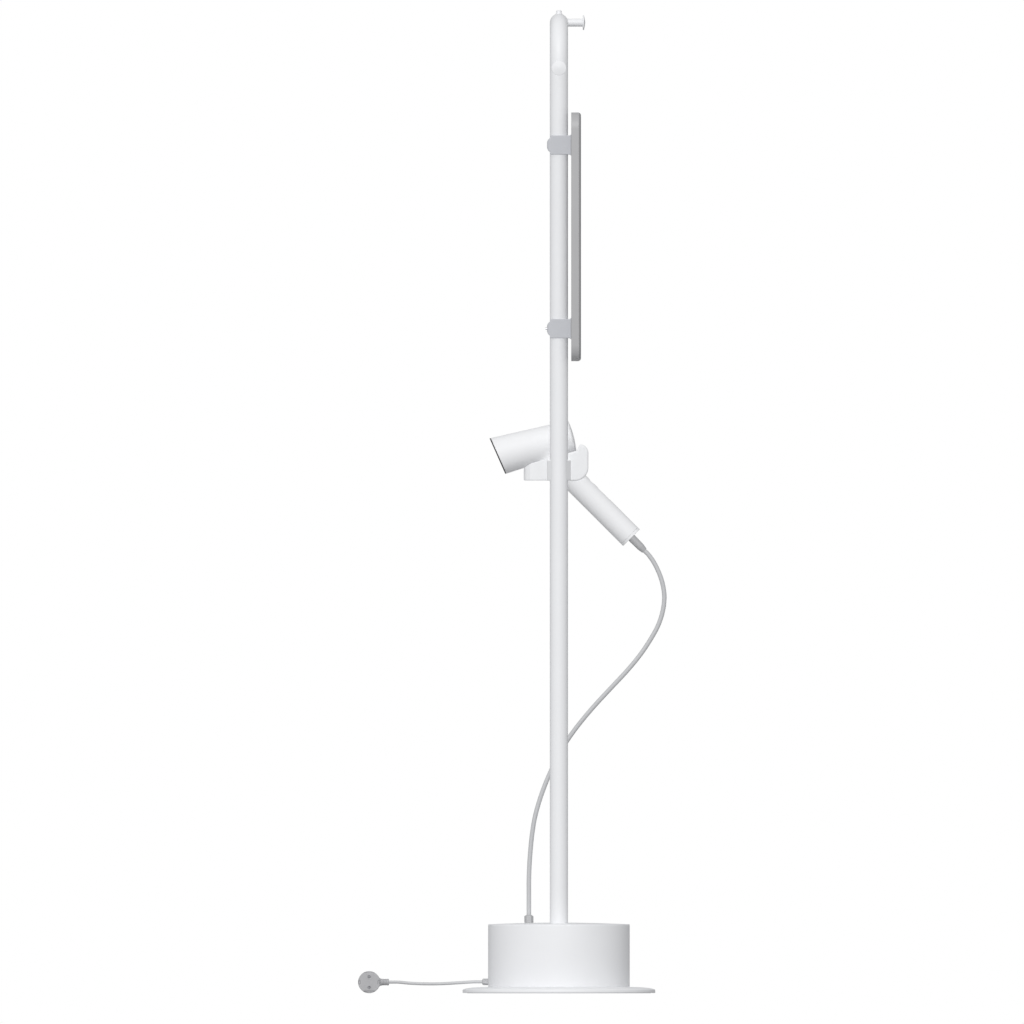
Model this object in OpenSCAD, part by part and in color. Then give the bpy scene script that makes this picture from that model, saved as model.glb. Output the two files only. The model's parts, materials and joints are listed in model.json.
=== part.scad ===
// Free-standing hair dryer station with a mirror.
// A hairpin tube frame stands in a weighted drum on a round base plate. It carries coat pegs,
// a framed mirror on four clips, and a cradle that the hair dryer rests in.
// Millimetres. The origin is the centre of the underside, +Z is up, and +X faces the user,
// who stands in front of the mirror. Left and right are the user's, so left is -Y.

/* [Base] */
// Diameter of the base plate
base_d = 340; // [330:5:380]
// Height of the base plate's crown, where the drum stands
base_top_z = 11; // [10:0.5:14]
// Outer diameter of the drum
drum_d = 250; // [246:2:256]
// Height of the drum wall's top edge
drum_top_z = 120; // [110:5:140]
// Rise of the domed lid at its centre, above the drum wall
lid_rise = 4.6; // [4:0.2:6]
// Sheet thickness of the drum
drum_wall = 2; // [1.5:0.5:3]

/* [Frame] */
// Outer diameter of the frame tube
tube_d = 32; // [30:1:34]
// Wall of the frame tube
tube_wall = 2; // [1.5:0.5:3]
// Distance between the centre lines of the two legs
leg_gap = 140; // [136:2:144]
// Height of the top of the arch
frame_h = 1729; // [1700:1:1760]
// Height of the two side pegs
side_peg_z = 1633; // [1610:1:1650]
// Diameter of a peg's head
peg_head_d = 26; // [22:1:30]
// How far a peg stands out of the tube
peg_reach = 30.5; // [26:0.5:36]

/* [Mirror] */
// Width of the mirror
mirror_w = 260; // [220:10:300]
// Height of the mirror
mirror_h = 439; // [400:1:460]
// Height of the middle of the mirror
mirror_mid_z = 1335; // [1325:1:1345]
// Depth of the mirror's tray
tray_depth = 13.6; // [12:0.2:16]
// Thickness of the mirror glass and its rim
glass_t = 3.7; // [3:0.1:5]
// Vertical distance between the upper and lower clips
clip_pitch = 324; // [300:2:340]

/* [Dryer] */
// Length of the dryer's head
head_len = 138; // [130:0.2:140]
// Diameter at the air outlet
outlet_d = 68.2; // [66:0.2:69]
// Diameter at the air intake
intake_d = 55.6; // [55:0.2:57]
// How far the resting head tilts up towards its intake, in degrees
head_tilt = 15.4; // [14:0.2:17]
// Diameter of the handle
handle_d = 41.6; // [41:0.2:42]
// Length of the handle, from the head's axis
handle_len = 231.5; // [229:0.1:236]

/* [Cords] */
// Diameter of the dryer's cord
cord_d = 8; // [7:0.5:8]
// Diameter of the mains lead
mains_d = 5.4; // [5:0.1:5.4]

/* [Hidden] */
$fn = 64;
e = 0.01; // a cut's run past a face
slip = 0.05; // radial clearance of a fit

pad_h = 1.5;
base_rim_z = 5.5;
base_r = base_d / 2;
drum_r = drum_d / 2;
ballast_r = 100;
ballast_h = 25;
ballast_z = base_top_z + ballast_h;
foot_flange_h = 6;
leg_z = ballast_z + foot_flange_h;
lid_edge_h = 1.5;
lid_skirt_h = 8;

tube_r = tube_d / 2;
leg_y = leg_gap / 2;
spring_z = frame_h - tube_r - leg_y; // where the arch begins
crown_z = frame_h - tube_r;
peg_stem_r = 7;
peg_head_t = 4.5;

mirror_x = 21.7; // back of the tray
mirror_corner_r = 29;
tray_wall = 2;
clip_h = 34;
clip_half_w = 19.5;
clip_back_x = -16;
clip_nose_x = -21.3;
clip_z = [mirror_mid_z + clip_pitch / 2, mirror_mid_z - clip_pitch / 2];

cross_x = -35.7; // where the axes of the dryer's head and handle meet
cross_z = 967.7;
front_reach = 75.5; // from that point to the outlet
rear_reach = head_len - front_reach;
outlet_slant = 8.5;
head_waist = 0;
shell_t = 2.2;
handle_r = handle_d / 2;
relief_reach = 186.7; // level distance from the crossing to the end of the strain relief
relief_r = 7.3;
relief_end = relief_reach * sqrt(2);
button_h = 112; // place of the cool-shot button along the handle
slider_h = 142; // place of the slide switch along the handle
lead_start = 175; // where the cord's inner end begins along the handle

cradle_z = 905;
collar_h = 35.5;
collar_r = 20.4;
rest_gap = 0.3; // between the cradle and the resting dryer
cheek_in = handle_r + rest_gap;
cheek_out = 28;
tongue_x = -62;
tongue_half_w = 15;
tongue_r = 12.4;
wedge_drop = 27.5; // from the head's axis down to the top of the fork's wedge
clip_corner_r = 5.3;

gland_x = -53;
gland_top_z = 138;
mains_gland_x = -136;
mains_z = 20;
plug_x = -335;
plug_r = 19.5;
plug_neck_x = -300;
plug_face = 34.3; // from the lead's axis to the face that the pins stand on
plug_back = -7;
pin_pitch = 19;
pin_r = 2.4;
pin_root = 12; // depth of a pin's root in the plug
pin_root_r = 1.9;
pin_len = 19;

block_z = 54; // top of the terminal block

// Centre line of the dryer's cord, from the strain relief to the gland on the lid: [x, z]
dryer_route = [
    [151, 781], [158, 774], [166, 763], [174, 748], [181, 730], [185, 712], [186, 695],
    [183, 673], [175, 649], [162, 625], [144, 598], [121, 570], [94, 541], [67, 512],
    [42, 483], [20, 454], [2, 425], [-12, 397], [-24, 369], [-34, 341], [-42, 312],
    [-47, 283], [-50, 255], [-52, 227], [-53, 199], [-53, 170], [-53, 138]
];
// Centre line of the mains lead, from the gland on the drum to the plug's neck: [x, z]
mains_route = [
    [-136, 20], [-150, 20], [-167, 19], [-184, 18], [-201, 17], [-218, 16.5], [-235, 16.5],
    [-252, 17], [-268, 18], [-284, 19.5], [-300, 19.5]
];
// Centre line of the mains lead inside the drum: [x, z]
inner_mains_route = [
    [-136, 20], [-126, 20], [-116, 20], [-110, 23], [-106, 30], [-103, 38], [-97, 44],
    [-86, 47], [-75, 47], [-64, 47]
];

// ---------- Shared shapes ----------

// Places children at every one of a list of points
module at_each(points) {
    for (p = points) translate(p) children();
}

// A rounded rectangle in the XY plane, centred
module rounded_rect(w, h, r) {
    square([w - 2 * r, h], center = true);
    square([w, h - 2 * r], center = true);
    for (x = [-1, 1], y = [-1, 1]) translate([x * (w / 2 - r), y * (h / 2 - r)]) circle(r);
}

// A hole or rod along +X from x0 to x1
module rod_x(r, x0, x1) {
    translate([x0, 0, 0]) rotate([0, 90, 0]) cylinder(r = r, h = x1 - x0);
}

// A hole or rod along Y from y0 to y1
module rod_y(r, y0, y1) {
    translate([0, y1, 0]) rotate([90, 0, 0]) cylinder(r = r, h = y1 - y0);
}

// A screw standing on its head's underside at z = 0, with its shank along -Z
module screw(shank_r, shank_len, head_r, head_h) {
    cylinder(r = head_r, h = head_h);
    translate([0, 0, -shank_len]) cylinder(r = shank_r, h = shank_len + e);
}

// A countersunk screw with its flat top at z = 0
module flat_screw(shank_r, shank_len, head_r, head_h) {
    translate([0, 0, -head_h]) cylinder(r1 = shank_r, r2 = head_r, h = head_h);
    translate([0, 0, -shank_len]) cylinder(r = shank_r, h = shank_len - head_h + e);
}

// One point of a smooth curve through p, at share u of the stretch after point i
function curve_at(p, i, u) =
    let (n = len(p) - 1,
         a = p[max(i - 1, 0)], b = p[i], c = p[min(i + 1, n)], d = p[min(i + 2, n)])
    0.5 * ((2 * b) + (c - a) * u + (2 * a - 5 * b + 4 * c - d) * u * u
           + (3 * b - a - 3 * c + d) * u * u * u);

// A tube swept along a route in the XZ plane, with `parts` rings for each stretch
module cord_tube(route, d, sides, parts) {
    n = len(route) - 1;
    line = concat(
        [for (i = [0 : n - 1], k = [0 : parts - 1]) curve_at(route, i, k / parts)],
        [route[n]]);
    last = len(line) - 1;
    function heading(i) =
        let (v = line[min(i + 1, last)] - line[max(i - 1, 0)]) v / norm(v);
    rings = [for (i = [0 : last], s = [0 : sides - 1])
        let (a = 360 * s / sides, t = heading(i))
        [line[i][0] - t[1] * cos(a) * d / 2, sin(a) * d / 2, line[i][1] + t[0] * cos(a) * d / 2]];
    walls = [for (i = [0 : last - 1], s = [0 : sides - 1])
        [i * sides + s, i * sides + (s + 1) % sides,
         (i + 1) * sides + (s + 1) % sides, (i + 1) * sides + s]];
    start_cap = [for (s = [sides - 1 : -1 : 0]) s];
    end_cap = [for (s = [0 : sides - 1]) last * sides + s];
    polyhedron(points = rings, faces = concat(walls, [start_cap, end_cap]));
}

// ---------- Base ----------

base_bolt_places = [for (a = [45 : 90 : 315]) 60 * [cos(a), sin(a), 0]];
drum_screw_places = [for (a = [45 : 90 : 315]) (drum_r - 10) * [cos(a), sin(a), 0]];
lid_screw_places = [for (a = [0 : 120 : 240]) (drum_r - 12) * [cos(a), sin(a), 0]];
socket_bolt_places = [for (a = [90 : 120 : 330]) 24 * [cos(a), sin(a), 0]];

module floor_pad() {
    color([0.12, 0.12, 0.13]) difference() {
        cylinder(r = base_r - 8, h = 2 * pad_h);
        translate([0, 0, -e]) cylinder(r = base_r - 44, h = 3 * pad_h);
    }
}

// Height of the base plate's top at radius r: a quarter ellipse between rim and drum
function base_top_at(a) = [
    drum_r + (base_r - drum_r) * cos(a), base_rim_z + (base_top_z - base_rim_z) * sin(a)];

module base_plate() {
    color([0.93, 0.94, 0.95]) difference() {
        rotate_extrude($fn = 128) polygon(concat(
            [[0, pad_h], [base_r, pad_h]],
            [for (a = [0 : 15 : 90]) base_top_at(a)],
            [[0, base_top_z]]));
        difference() {
            cylinder(r = base_r - 8 + slip, h = 2 * pad_h + slip);
            cylinder(r = base_r - 44 - slip, h = 3 * pad_h);
        }
        at_each(base_bolt_places) {
            cylinder(r = 4 + slip, h = 20);
            translate([0, 0, pad_h - e]) cylinder(r1 = 8.05, r2 = 4 + slip, h = 4);
        }
        at_each(drum_screw_places) translate([0, 0, 5]) cylinder(r = 2.5 + slip, h = 20);
    }
}

module base_bolts() {
    color("silver") at_each(base_bolt_places) translate([0, 0, pad_h]) mirror([0, 0, 1])
        flat_screw(4, 28, 8, 4);
}

module ballast_weight() {
    color([0.3, 0.3, 0.32]) difference() {
        translate([0, 0, base_top_z]) cylinder(r = ballast_r, h = ballast_h);
        at_each(base_bolt_places) cylinder(r = 4 + slip, h = 30);
        for (s = [-1, 1]) translate([0, s * leg_y, ballast_z - 15]) at_each(socket_bolt_places)
            cylinder(r = 2.5 + slip, h = 20);
    }
}

// The drum's wall, with an inner foot flange and three welded tabs for the lid
module drum_shell() {
    color([0.93, 0.94, 0.95]) difference() {
        union() {
            difference() {
                translate([0, 0, base_top_z])
                    cylinder(r = drum_r, h = drum_top_z - base_top_z, $fn = 128);
                translate([0, 0, base_top_z + 2])
                    cylinder(r = drum_r - drum_wall, h = drum_top_z, $fn = 128);
                cylinder(r = drum_r - 19, h = drum_top_z);
            }
            for (a = [0 : 120 : 240]) rotate(a) translate([drum_r - 20, -8, drum_top_z - 12])
                cube([20 - drum_wall + 0.5, 16, 2.5]);
        }
        at_each(drum_screw_places) cylinder(r = 2.5 + slip, h = 20);
        at_each(lid_screw_places) cylinder(r = 2 + slip, h = drum_top_z);
        translate([0, 0, mains_z]) rod_x(4.1, -drum_r - 5, -drum_r + 10);
    }
}

module drum_screws() {
    color("silver") at_each(drum_screw_places) translate([0, 0, base_top_z + 2])
        screw(2.5, 7, 4.5, 3);
}

function lid_top(r) =
    drum_top_z + lid_edge_h + (lid_rise - lid_edge_h) * (1 - pow(r / drum_r, 2));

module drum_lid() {
    color([0.93, 0.94, 0.95]) difference() {
        union() {
            rotate_extrude($fn = 128) polygon(concat(
                [[0, drum_top_z], [drum_r, drum_top_z]],
                [for (i = [8 : -1 : 0]) [drum_r * i / 8, lid_top(drum_r * i / 8)]]));
            translate([0, 0, drum_top_z - lid_skirt_h]) difference() {
                cylinder(r = drum_r - drum_wall - 0.3, h = lid_skirt_h + e, $fn = 128);
                translate([0, 0, -e])
                    cylinder(r = drum_r - drum_wall - 2, h = lid_skirt_h, $fn = 128);
            }
        }
        for (s = [-1, 1]) translate([0, s * leg_y, 0])
            cylinder(r = tube_r + 0.3, h = 2 * drum_top_z);
        translate([gland_x, 0, 0]) cylinder(r = 6 + slip, h = 2 * drum_top_z);
        at_each(lid_screw_places) {
            cylinder(r = 2 + slip, h = 2 * drum_top_z);
            translate([0, 0, drum_top_z]) cylinder(r1 = 2 + slip, r2 = 4 + slip, h = 2);
            translate([0, 0, drum_top_z + 2 - e]) cylinder(r = 4 + slip, h = 5);
        }
    }
}

module lid_screws() {
    color("silver") at_each(lid_screw_places) translate([0, 0, drum_top_z + 2])
        flat_screw(2, 13, 4, 2);
}

// A flanged cup, bolted to the ballast, that holds the foot of one leg
module leg_socket(side) {
    color("silver") translate([0, side * leg_y, ballast_z]) difference() {
        union() {
            cylinder(r = 29, h = foot_flange_h);
            cylinder(r = 19, h = 54);
        }
        translate([0, 0, foot_flange_h]) cylinder(r = tube_r + slip, h = 60);
        at_each(socket_bolt_places) translate([0, 0, -e]) cylinder(r = 2.5 + slip, h = 10);
        translate([0, 0, 40]) rod_x(3 + slip, 10, 25);
    }
}
module leg_socket_left() { leg_socket(-1); }
module leg_socket_right() { leg_socket(1); }

module socket_bolts() {
    color("silver") for (s = [-1, 1]) translate([0, s * leg_y, leg_z]) at_each(socket_bolt_places)
        screw(2.5, 20, 4.2, 4);
}

module socket_grub_screws() {
    color("silver") for (s = [-1, 1]) translate([0, s * leg_y, ballast_z + 40])
        rod_x(3, tube_r + slip, 21);
}

module terminal_block() {
    color([0.9, 0.88, 0.8]) {
        translate([-64, -11, ballast_z]) cube([32, 22, block_z - ballast_z]);
        at_each([for (y = [-7, 0, 7]) [-40, y, block_z - e]]) cylinder(r = 2.5, h = 2);
    }
}

module inner_dryer_lead() {
    color([0.7, 0.7, 0.7]) translate([gland_x, 0, block_z])
        cylinder(r = cord_d / 2, h = gland_top_z - block_z);
}

module inner_mains_lead() {
    color([0.7, 0.7, 0.7]) cord_tube(inner_mains_route, mains_d, 8, 1);
}

// Hexagonal cap of a cable gland, with a chamfered outer end, on a threaded stem
module gland(hex_r, hex_h, stem_r, stem_len, bore_r) {
    chamfer = 1.6;
    difference() {
        union() {
            cylinder(r = hex_r, h = hex_h - chamfer, $fn = 6);
            translate([0, 0, hex_h - chamfer - e])
                cylinder(r1 = hex_r * 0.93, r2 = hex_r * 0.75, h = chamfer + e);
            translate([0, 0, -stem_len]) cylinder(r = stem_r, h = stem_len + e);
        }
        translate([0, 0, -stem_len - e]) cylinder(r = bore_r, h = stem_len + hex_h + 1);
    }
}

module cord_gland() {
    floor_z = lid_top(-gland_x - 8.2) + slip;
    color([0.68, 0.69, 0.7]) translate([gland_x, 0, floor_z])
        gland(8.2, gland_top_z - floor_z, 6, 12, cord_d / 2 + slip);
}

module cord_gland_nut() {
    color([0.68, 0.69, 0.7]) translate([gland_x, 0, drum_top_z - 4]) difference() {
        cylinder(r = 9, h = 4 - slip, $fn = 6);
        translate([0, 0, -e]) cylinder(r = 6 + slip, h = 5);
    }
}

module mains_gland() {
    color([0.68, 0.69, 0.7]) translate([-drum_r, 0, mains_z]) rotate([0, -90, 0])
        gland(5.9, -mains_gland_x - drum_r, 4, 8, mains_d / 2 + slip);
}

module mains_gland_nut() {
    color([0.68, 0.69, 0.7]) translate([-drum_r + drum_wall + 0.2, 0, mains_z]) rotate([0, 90, 0])
        difference() {
            cylinder(r = 6, h = 3, $fn = 6);
            translate([0, 0, -e]) cylinder(r = 4 + slip, h = 5);
        }
}

// ---------- Frame ----------

module frame_tube() {
    color([0.93, 0.94, 0.95]) {
        for (s = [-1, 1]) translate([0, s * leg_y, leg_z]) difference() {
            cylinder(r = tube_r, h = spring_z - leg_z);
            translate([0, 0, -e]) cylinder(r = tube_r - tube_wall, h = spring_z);
        }
        translate([0, 0, spring_z]) rotate([90, 0, 90]) rotate_extrude(angle = 180)
            translate([leg_y, 0]) difference() {
                circle(tube_r);
                circle(tube_r - tube_wall);
            }
    }
}

module crown_button() {
    color([0.93, 0.94, 0.95]) difference() {
        translate([0, 0, crown_z + tube_r - 3]) rotate_extrude()
            polygon([[0, 0], [5.6, 0], [5.6, 6], [4.6, 8.2], [3, 9], [0, 9]]);
        translate([0, 0, crown_z]) rod_y(tube_r, -10, 10);
    }
}

// A mushroom peg along +Z, with its root at z = 0 on the tube's axis
module peg() {
    tip = tube_r + peg_reach;
    head = peg_head_d / 2;
    rotate_extrude() polygon([
        [0, tube_r - 5], [peg_stem_r, tube_r - 5], [peg_stem_r, tip - peg_head_t],
        [head - 0.8, tip - peg_head_t], [head, tip - peg_head_t + 0.8], [head, tip - 2.2],
        [head - 1.4, tip - 1.1], [head / 2, tip - 0.3], [0, tip]]);
}

module front_peg() {
    color([0.93, 0.94, 0.95]) difference() {
        translate([0, 0, crown_z]) rotate([0, 90, 0]) peg();
        translate([0, 0, crown_z]) rod_y(tube_r + e, -10, 10);
    }
}

module side_peg(side) {
    color([0.93, 0.94, 0.95]) difference() {
        translate([0, side * leg_y, side_peg_z]) rotate([-90 * side, 0, 0]) peg();
        translate([0, side * leg_y, 0]) cylinder(r = tube_r + e, h = spring_z);
    }
}
module side_peg_left() { side_peg(-1); }
module side_peg_right() { side_peg(1); }

// ---------- Mirror ----------

clip_screw_y = 16.8; // from the leg's axis
clip_screw_places = [for (z = clip_z, leg = [-1, 1], side = [-1, 1])
    [0, leg * leg_y + side * clip_screw_y, z]];

// A rounded slab of the mirror's outline between x0 and x1, inset by `inset`
module mirror_slab(x0, x1, inset) {
    translate([x0, 0, mirror_mid_z]) rotate([90, 0, 90]) linear_extrude(x1 - x0)
        rounded_rect(mirror_w - 2 * inset, mirror_h - 2 * inset, mirror_corner_r - inset);
}

module mirror_tray() {
    color([0.69, 0.69, 0.69]) difference() {
        mirror_slab(mirror_x, mirror_x + tray_depth, 0);
        mirror_slab(mirror_x + tray_wall, mirror_x + tray_depth + 1, tray_wall);
        at_each(clip_screw_places) rod_x(1.4 + slip, mirror_x - 1, mirror_x + 5);
    }
}

module mirror_backing() {
    color([0.35, 0.33, 0.3])
        mirror_slab(mirror_x + tray_wall + 2.2, mirror_x + tray_depth - slip, tray_wall + 0.5);
}

module mirror_glass() {
    color([0.5, 0.52, 0.54]) union() {
        mirror_slab(mirror_x + tray_depth, mirror_x + tray_depth + glass_t - 1.5, 0);
        mirror_slab(mirror_x + tray_depth + glass_t - 1.5 - e, mirror_x + tray_depth + glass_t, 1.5);
    }
}

// Side outline of a clip, in X and Z: a flared root on the mirror and a tapered nose
module clip_side() {
    half = clip_h / 2;
    flare = 2.6;
    polygon(concat(
        [for (a = [0 : 30 : 90]) [mirror_x - flare + flare * sin(a), half + flare - flare * cos(a)]],
        [for (a = [90 : -30 : 0]) [mirror_x - flare + flare * sin(a), -half - flare + flare * cos(a)]],
        [[clip_back_x + 1.5, -half], [clip_back_x, -half + 1.5], [clip_back_x, -12.5],
         [clip_back_x - 3, -9.6], [clip_nose_x, -5], [clip_nose_x, 5], [clip_back_x - 3, 9.6],
         [clip_back_x, 12.5], [clip_back_x, half - 1.5], [clip_back_x + 1.5, half]]));
}

// A clip round one leg: flat sides, rounded back corners, and a bore for the tube
module clip(leg, z) {
    color([0.76, 0.77, 0.78]) translate([0, leg * leg_y, z]) difference() {
        intersection() {
            rotate([90, 0, 0]) linear_extrude(2 * clip_half_w, center = true) clip_side();
            translate([0, 0, -40]) hull() {
                for (s = [-1, 1]) translate([clip_nose_x + clip_corner_r,
                    s * (clip_half_w - clip_corner_r), 0]) cylinder(r = clip_corner_r, h = 80);
                translate([0, -clip_half_w, 0]) cube([60, 2 * clip_half_w, 80]);
            }
        }
        translate([0, 0, -40]) cylinder(r = tube_r + slip, h = 80);
        for (s = [-1, 1]) translate([0, clip_screw_y * s, 0]) rod_x(1.4 + slip, 9, mirror_x + 1);
        if (z < mirror_mid_z) rod_x(2 + slip, clip_nose_x - 5, 0);
    }
}
module clip_upper_left() { clip(-1, clip_z[0]); }
module clip_upper_right() { clip(1, clip_z[0]); }
module clip_lower_left() { clip(-1, clip_z[1]); }
module clip_lower_right() { clip(1, clip_z[1]); }

module clip_screws() {
    color("silver") at_each(clip_screw_places) {
        rod_x(1.4, 10, mirror_x + tray_wall + e);
        rod_x(2.8, mirror_x + tray_wall, mirror_x + tray_wall + 1.8);
    }
}

module clip_lock_screws() {
    color([0.45, 0.45, 0.46]) for (s = [-1, 1]) translate([0, s * leg_y, clip_z[1]])
        rod_x(2, -24, -tube_r - 0.1);
}

// ---------- Cradle ----------

// The dryer's head: +Z runs along its axis to the intake, and -X is up
module on_head() {
    translate([cross_x, 0, cross_z]) rotate([0, 90 - head_tilt, 0]) children();
}

// The dryer's handle: +Z runs along it to the cord, and -X is the thumb's side
module on_handle() {
    translate([cross_x, 0, cross_z]) rotate([0, 135, 0]) children();
}

// The slanted outlet face: -Z points out of the dryer
module on_outlet() {
    on_head() translate([0, 0, -front_reach]) rotate([0, -outlet_slant, 0]) children();
}

function head_r(s) =
    (outlet_d + (intake_d - outlet_d) * s) / 2 - 4 * head_waist * s * (1 - s);

// The head's solid of revolution between shares s0 and s1 of its length, grown by `grow`
module head_solid(s0, s1, grow) {
    parts = 8;
    function share(i) = s0 + (s1 - s0) * i / parts;
    on_head() rotate_extrude($fn = 96) polygon(concat(
        [[0, head_len * s0 - front_reach]],
        [for (i = [0 : parts]) [head_r(share(i)) + grow, head_len * share(i) - front_reach]],
        [[0, head_len * s1 - front_reach]]));
}

// Points every 15 degrees on an arc
function arc_points(centre, r, from, to) =
    [for (a = [from : 15 : to]) centre + r * [cos(a), sin(a)]];

// Side outline of a fork cheek, in X and Z, with its lip behind the head
module cheek_side() {
    right = 52;
    bottom_r = 18;
    top_r = 15;
    lip_z = 968.8;
    head_floor_z = 949;
    polygon(concat(
        [[-20, cradle_z], [right - bottom_r, cradle_z]],
        arc_points([right - bottom_r, cradle_z + bottom_r], bottom_r, -75, 0),
        arc_points([right - top_r, lip_z - top_r], top_r, 0, 75),
        [[38, lip_z], [36.5, lip_z - 1], [31.8, head_floor_z + 8.6], [0, head_floor_z], [-20, 943.5]]));
}

// The part of the cradle that widens from its tongue to the fork, with a flat top under the head
module fork_wedge() {
    intersection() {
        translate([0, 0, cradle_z]) linear_extrude(60) polygon([
            [tongue_x + tongue_r, tongue_half_w], [tongue_x + tongue_r, -tongue_half_w],
            [-19, -cheek_out], [-19, cheek_out]]);
        on_head() translate([wedge_drop, -40, -90]) cube([90, 80, 180]);
    }
}

module cradle() {
    color([0.91, 0.92, 0.92]) difference() {
        union() {
            fork_wedge();
            translate([0, 0, cradle_z]) {
                translate([-collar_r, -leg_y, 0]) cube([2 * collar_r, leg_gap, collar_h]);
                for (s = [-1, 1]) translate([0, s * leg_y, 0]) cylinder(r = collar_r, h = collar_h);
                translate([tongue_x + tongue_r, -tongue_half_w, 0])
                    cube([-tongue_x - tongue_r, 2 * tongue_half_w, 60]);
                translate([tongue_x, tongue_r - tongue_half_w, 0])
                    cube([30, 2 * (tongue_half_w - tongue_r), 60]);
                for (s = [-1, 1]) translate([tongue_x + tongue_r, s * (tongue_half_w - tongue_r), 0])
                    cylinder(r = tongue_r, h = 60);
            }
            for (s = [-1, 1]) translate([0, s * (cheek_in + cheek_out) / 2, 0]) rotate([90, 0, 0])
                linear_extrude(cheek_out - cheek_in, center = true) cheek_side();
        }
        head_solid(-0.1, 1.04, rest_gap);
        on_handle() cylinder(r = cheek_in, h = 150);
        on_handle() translate([-150, -cheek_in, 0]) cube([150, 2 * cheek_in, 200]);
        for (s = [-1, 1]) translate([0, s * leg_y, cradle_z - e]) {
            cylinder(r = tube_r + slip, h = 60);
            translate([-30, s > 0 ? 9 : -39, 0]) cube([60, 30, 60]);
        }
        for (s = [-1, 1]) translate([-8, 0, cradle_z + 12]) {
            rod_y(2.5 + slip, s > 0 ? 40 : -60, s > 0 ? 60 : -40);
            rod_y(4, s > 0 ? 15 : -48, s > 0 ? 48 : -15);
        }
    }
}

module cradle_grub_screws() {
    color("silver") for (s = [-1, 1]) translate([-8, 0, cradle_z + 12])
        rod_y(2.5, s > 0 ? 46 : -54.8, s > 0 ? 54.8 : -46);
}

// ---------- Dryer ----------

shell_screw_places = [for (h = [50, 165, 207]) [9, 0, h]];

module dryer_outside(grow) {
    difference() {
        head_solid(-0.1, (front_reach + rear_reach - 2.4) / head_len, grow);
        on_outlet() translate([-60, -60, -40]) cube([120, 120, 42]);
    }
    on_handle() cylinder(r = handle_r + grow, h = handle_len - 4.3);
}

module dryer_inside() {
    head_solid(-0.15, 1.1, -shell_t);
    on_handle() cylinder(r = handle_r - shell_t, h = handle_len + 10);
}

// One half of the dryer's casing, with the bosses that its screws pass through
module dryer_shell(side) {
    boss_y = side > 0 ? 14 : -14;
    color([0.94, 0.94, 0.95]) difference() {
        union() {
            difference() {
                dryer_outside(0);
                dryer_inside();
            }
            intersection() {
                on_handle() at_each(shell_screw_places)
                    rod_y(3.6, min(0, boss_y * 1.4), max(0, boss_y * 1.4));
                on_handle() cylinder(r = handle_r - 1, h = handle_len);
            }
        }
        translate([-300, side > 0 ? slip / 2 - 400 : -slip / 2, 700]) cube([600, 400, 400]);
        on_handle() at_each(shell_screw_places) {
            rod_y(1.4 + slip, -9, 15);
            rod_y(3, 12, 30);
        }
        on_handle() translate([-30, 0, 0]) {
            translate([0, -4.2, slider_h - 14]) cube([20, 8.4, 28]);
            translate([0, 0, button_h]) rod_x(5.7, 0, 20);
        }
    }
}
module dryer_shell_left() { dryer_shell(-1); }
module dryer_shell_right() { dryer_shell(1); }

module shell_screws() {
    color("silver") on_handle() at_each(shell_screw_places) {
        rod_y(1.4, -8, 12 + e);
        rod_y(2.7, 12, 14);
    }
}

module outlet_ring() {
    color([0.1, 0.1, 0.1]) difference() {
        union() {
            intersection() {
                head_solid(-0.1, 0.2, 0);
                on_outlet() translate([-60, -60, 0]) cube([120, 120, 2]);
            }
            on_outlet() cylinder(r = 29, h = 7);
        }
        on_outlet() translate([0, 0, -20]) cylinder(r = 28.2, h = 60);
    }
}

module outlet_grille() {
    color([0.1, 0.1, 0.1]) on_outlet() translate([0, 0, 5]) {
        for (r = [28, 21, 14, 7]) difference() {
            cylinder(r = r, h = 2);
            translate([0, 0, -e]) cylinder(r = r - 1.2, h = 3);
        }
        for (a = [0, 60, 120]) rotate(a) translate([-27.5, -0.6, 0]) cube([55, 1.2, 2]);
    }
}

// Domed cap over the intake, with rings of holes and a collar inside the shell
module intake_grille() {
    r = intake_d / 2;
    base = rear_reach - 2.4;
    color([0.86, 0.86, 0.87]) on_head() translate([0, 0, base + slip]) difference() {
        union() {
            rotate_extrude($fn = 96) polygon(concat(
                [[0, 0], [r, 0], [r, 1]],
                [for (i = [6 : -1 : 0]) [(r - 0.6) * i / 6, 3.6 - 2.2 * pow(i / 6, 2)]]));
            translate([0, 0, -5]) cylinder(r = 25.2, h = 5 + e);
        }
        translate([0, 0, -6]) cylinder(r = 23.6, h = 6);
        for (k = [1 : 3], j = [0 : 6 * k - 1]) rotate(60 * j / k) translate([6.4 * k, 0, -1])
            cylinder(r = 1.7, h = 8);
    }
}

// The duct round the fan and motor, with its vanes and motor hub
module fan_duct() {
    color([0.2, 0.2, 0.2]) on_head() {
        difference() {
            cylinder(r = 25.3, h = 48);
            translate([0, 0, -e]) cylinder(r = 24.3, h = 50);
        }
        translate([0, 0, 4]) difference() {
            cylinder(r = 13.6, h = 20);
            translate([0, 0, -e]) cylinder(r = 12 + slip, h = 30);
        }
        for (a = [0 : 60 : 300]) rotate(a) translate([13, -0.6, 6]) cube([11.8, 1.2, 16]);
    }
}

module motor() {
    color([0.6, 0.6, 0.62]) on_head() difference() {
        translate([0, 0, 1]) cylinder(r = 12, h = 27);
        translate([0, 0, 12]) cylinder(r = 1 + slip, h = 30);
    }
}

module motor_shaft() {
    color("silver") on_head() translate([0, 0, 13]) cylinder(r = 1, h = 31);
}

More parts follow.
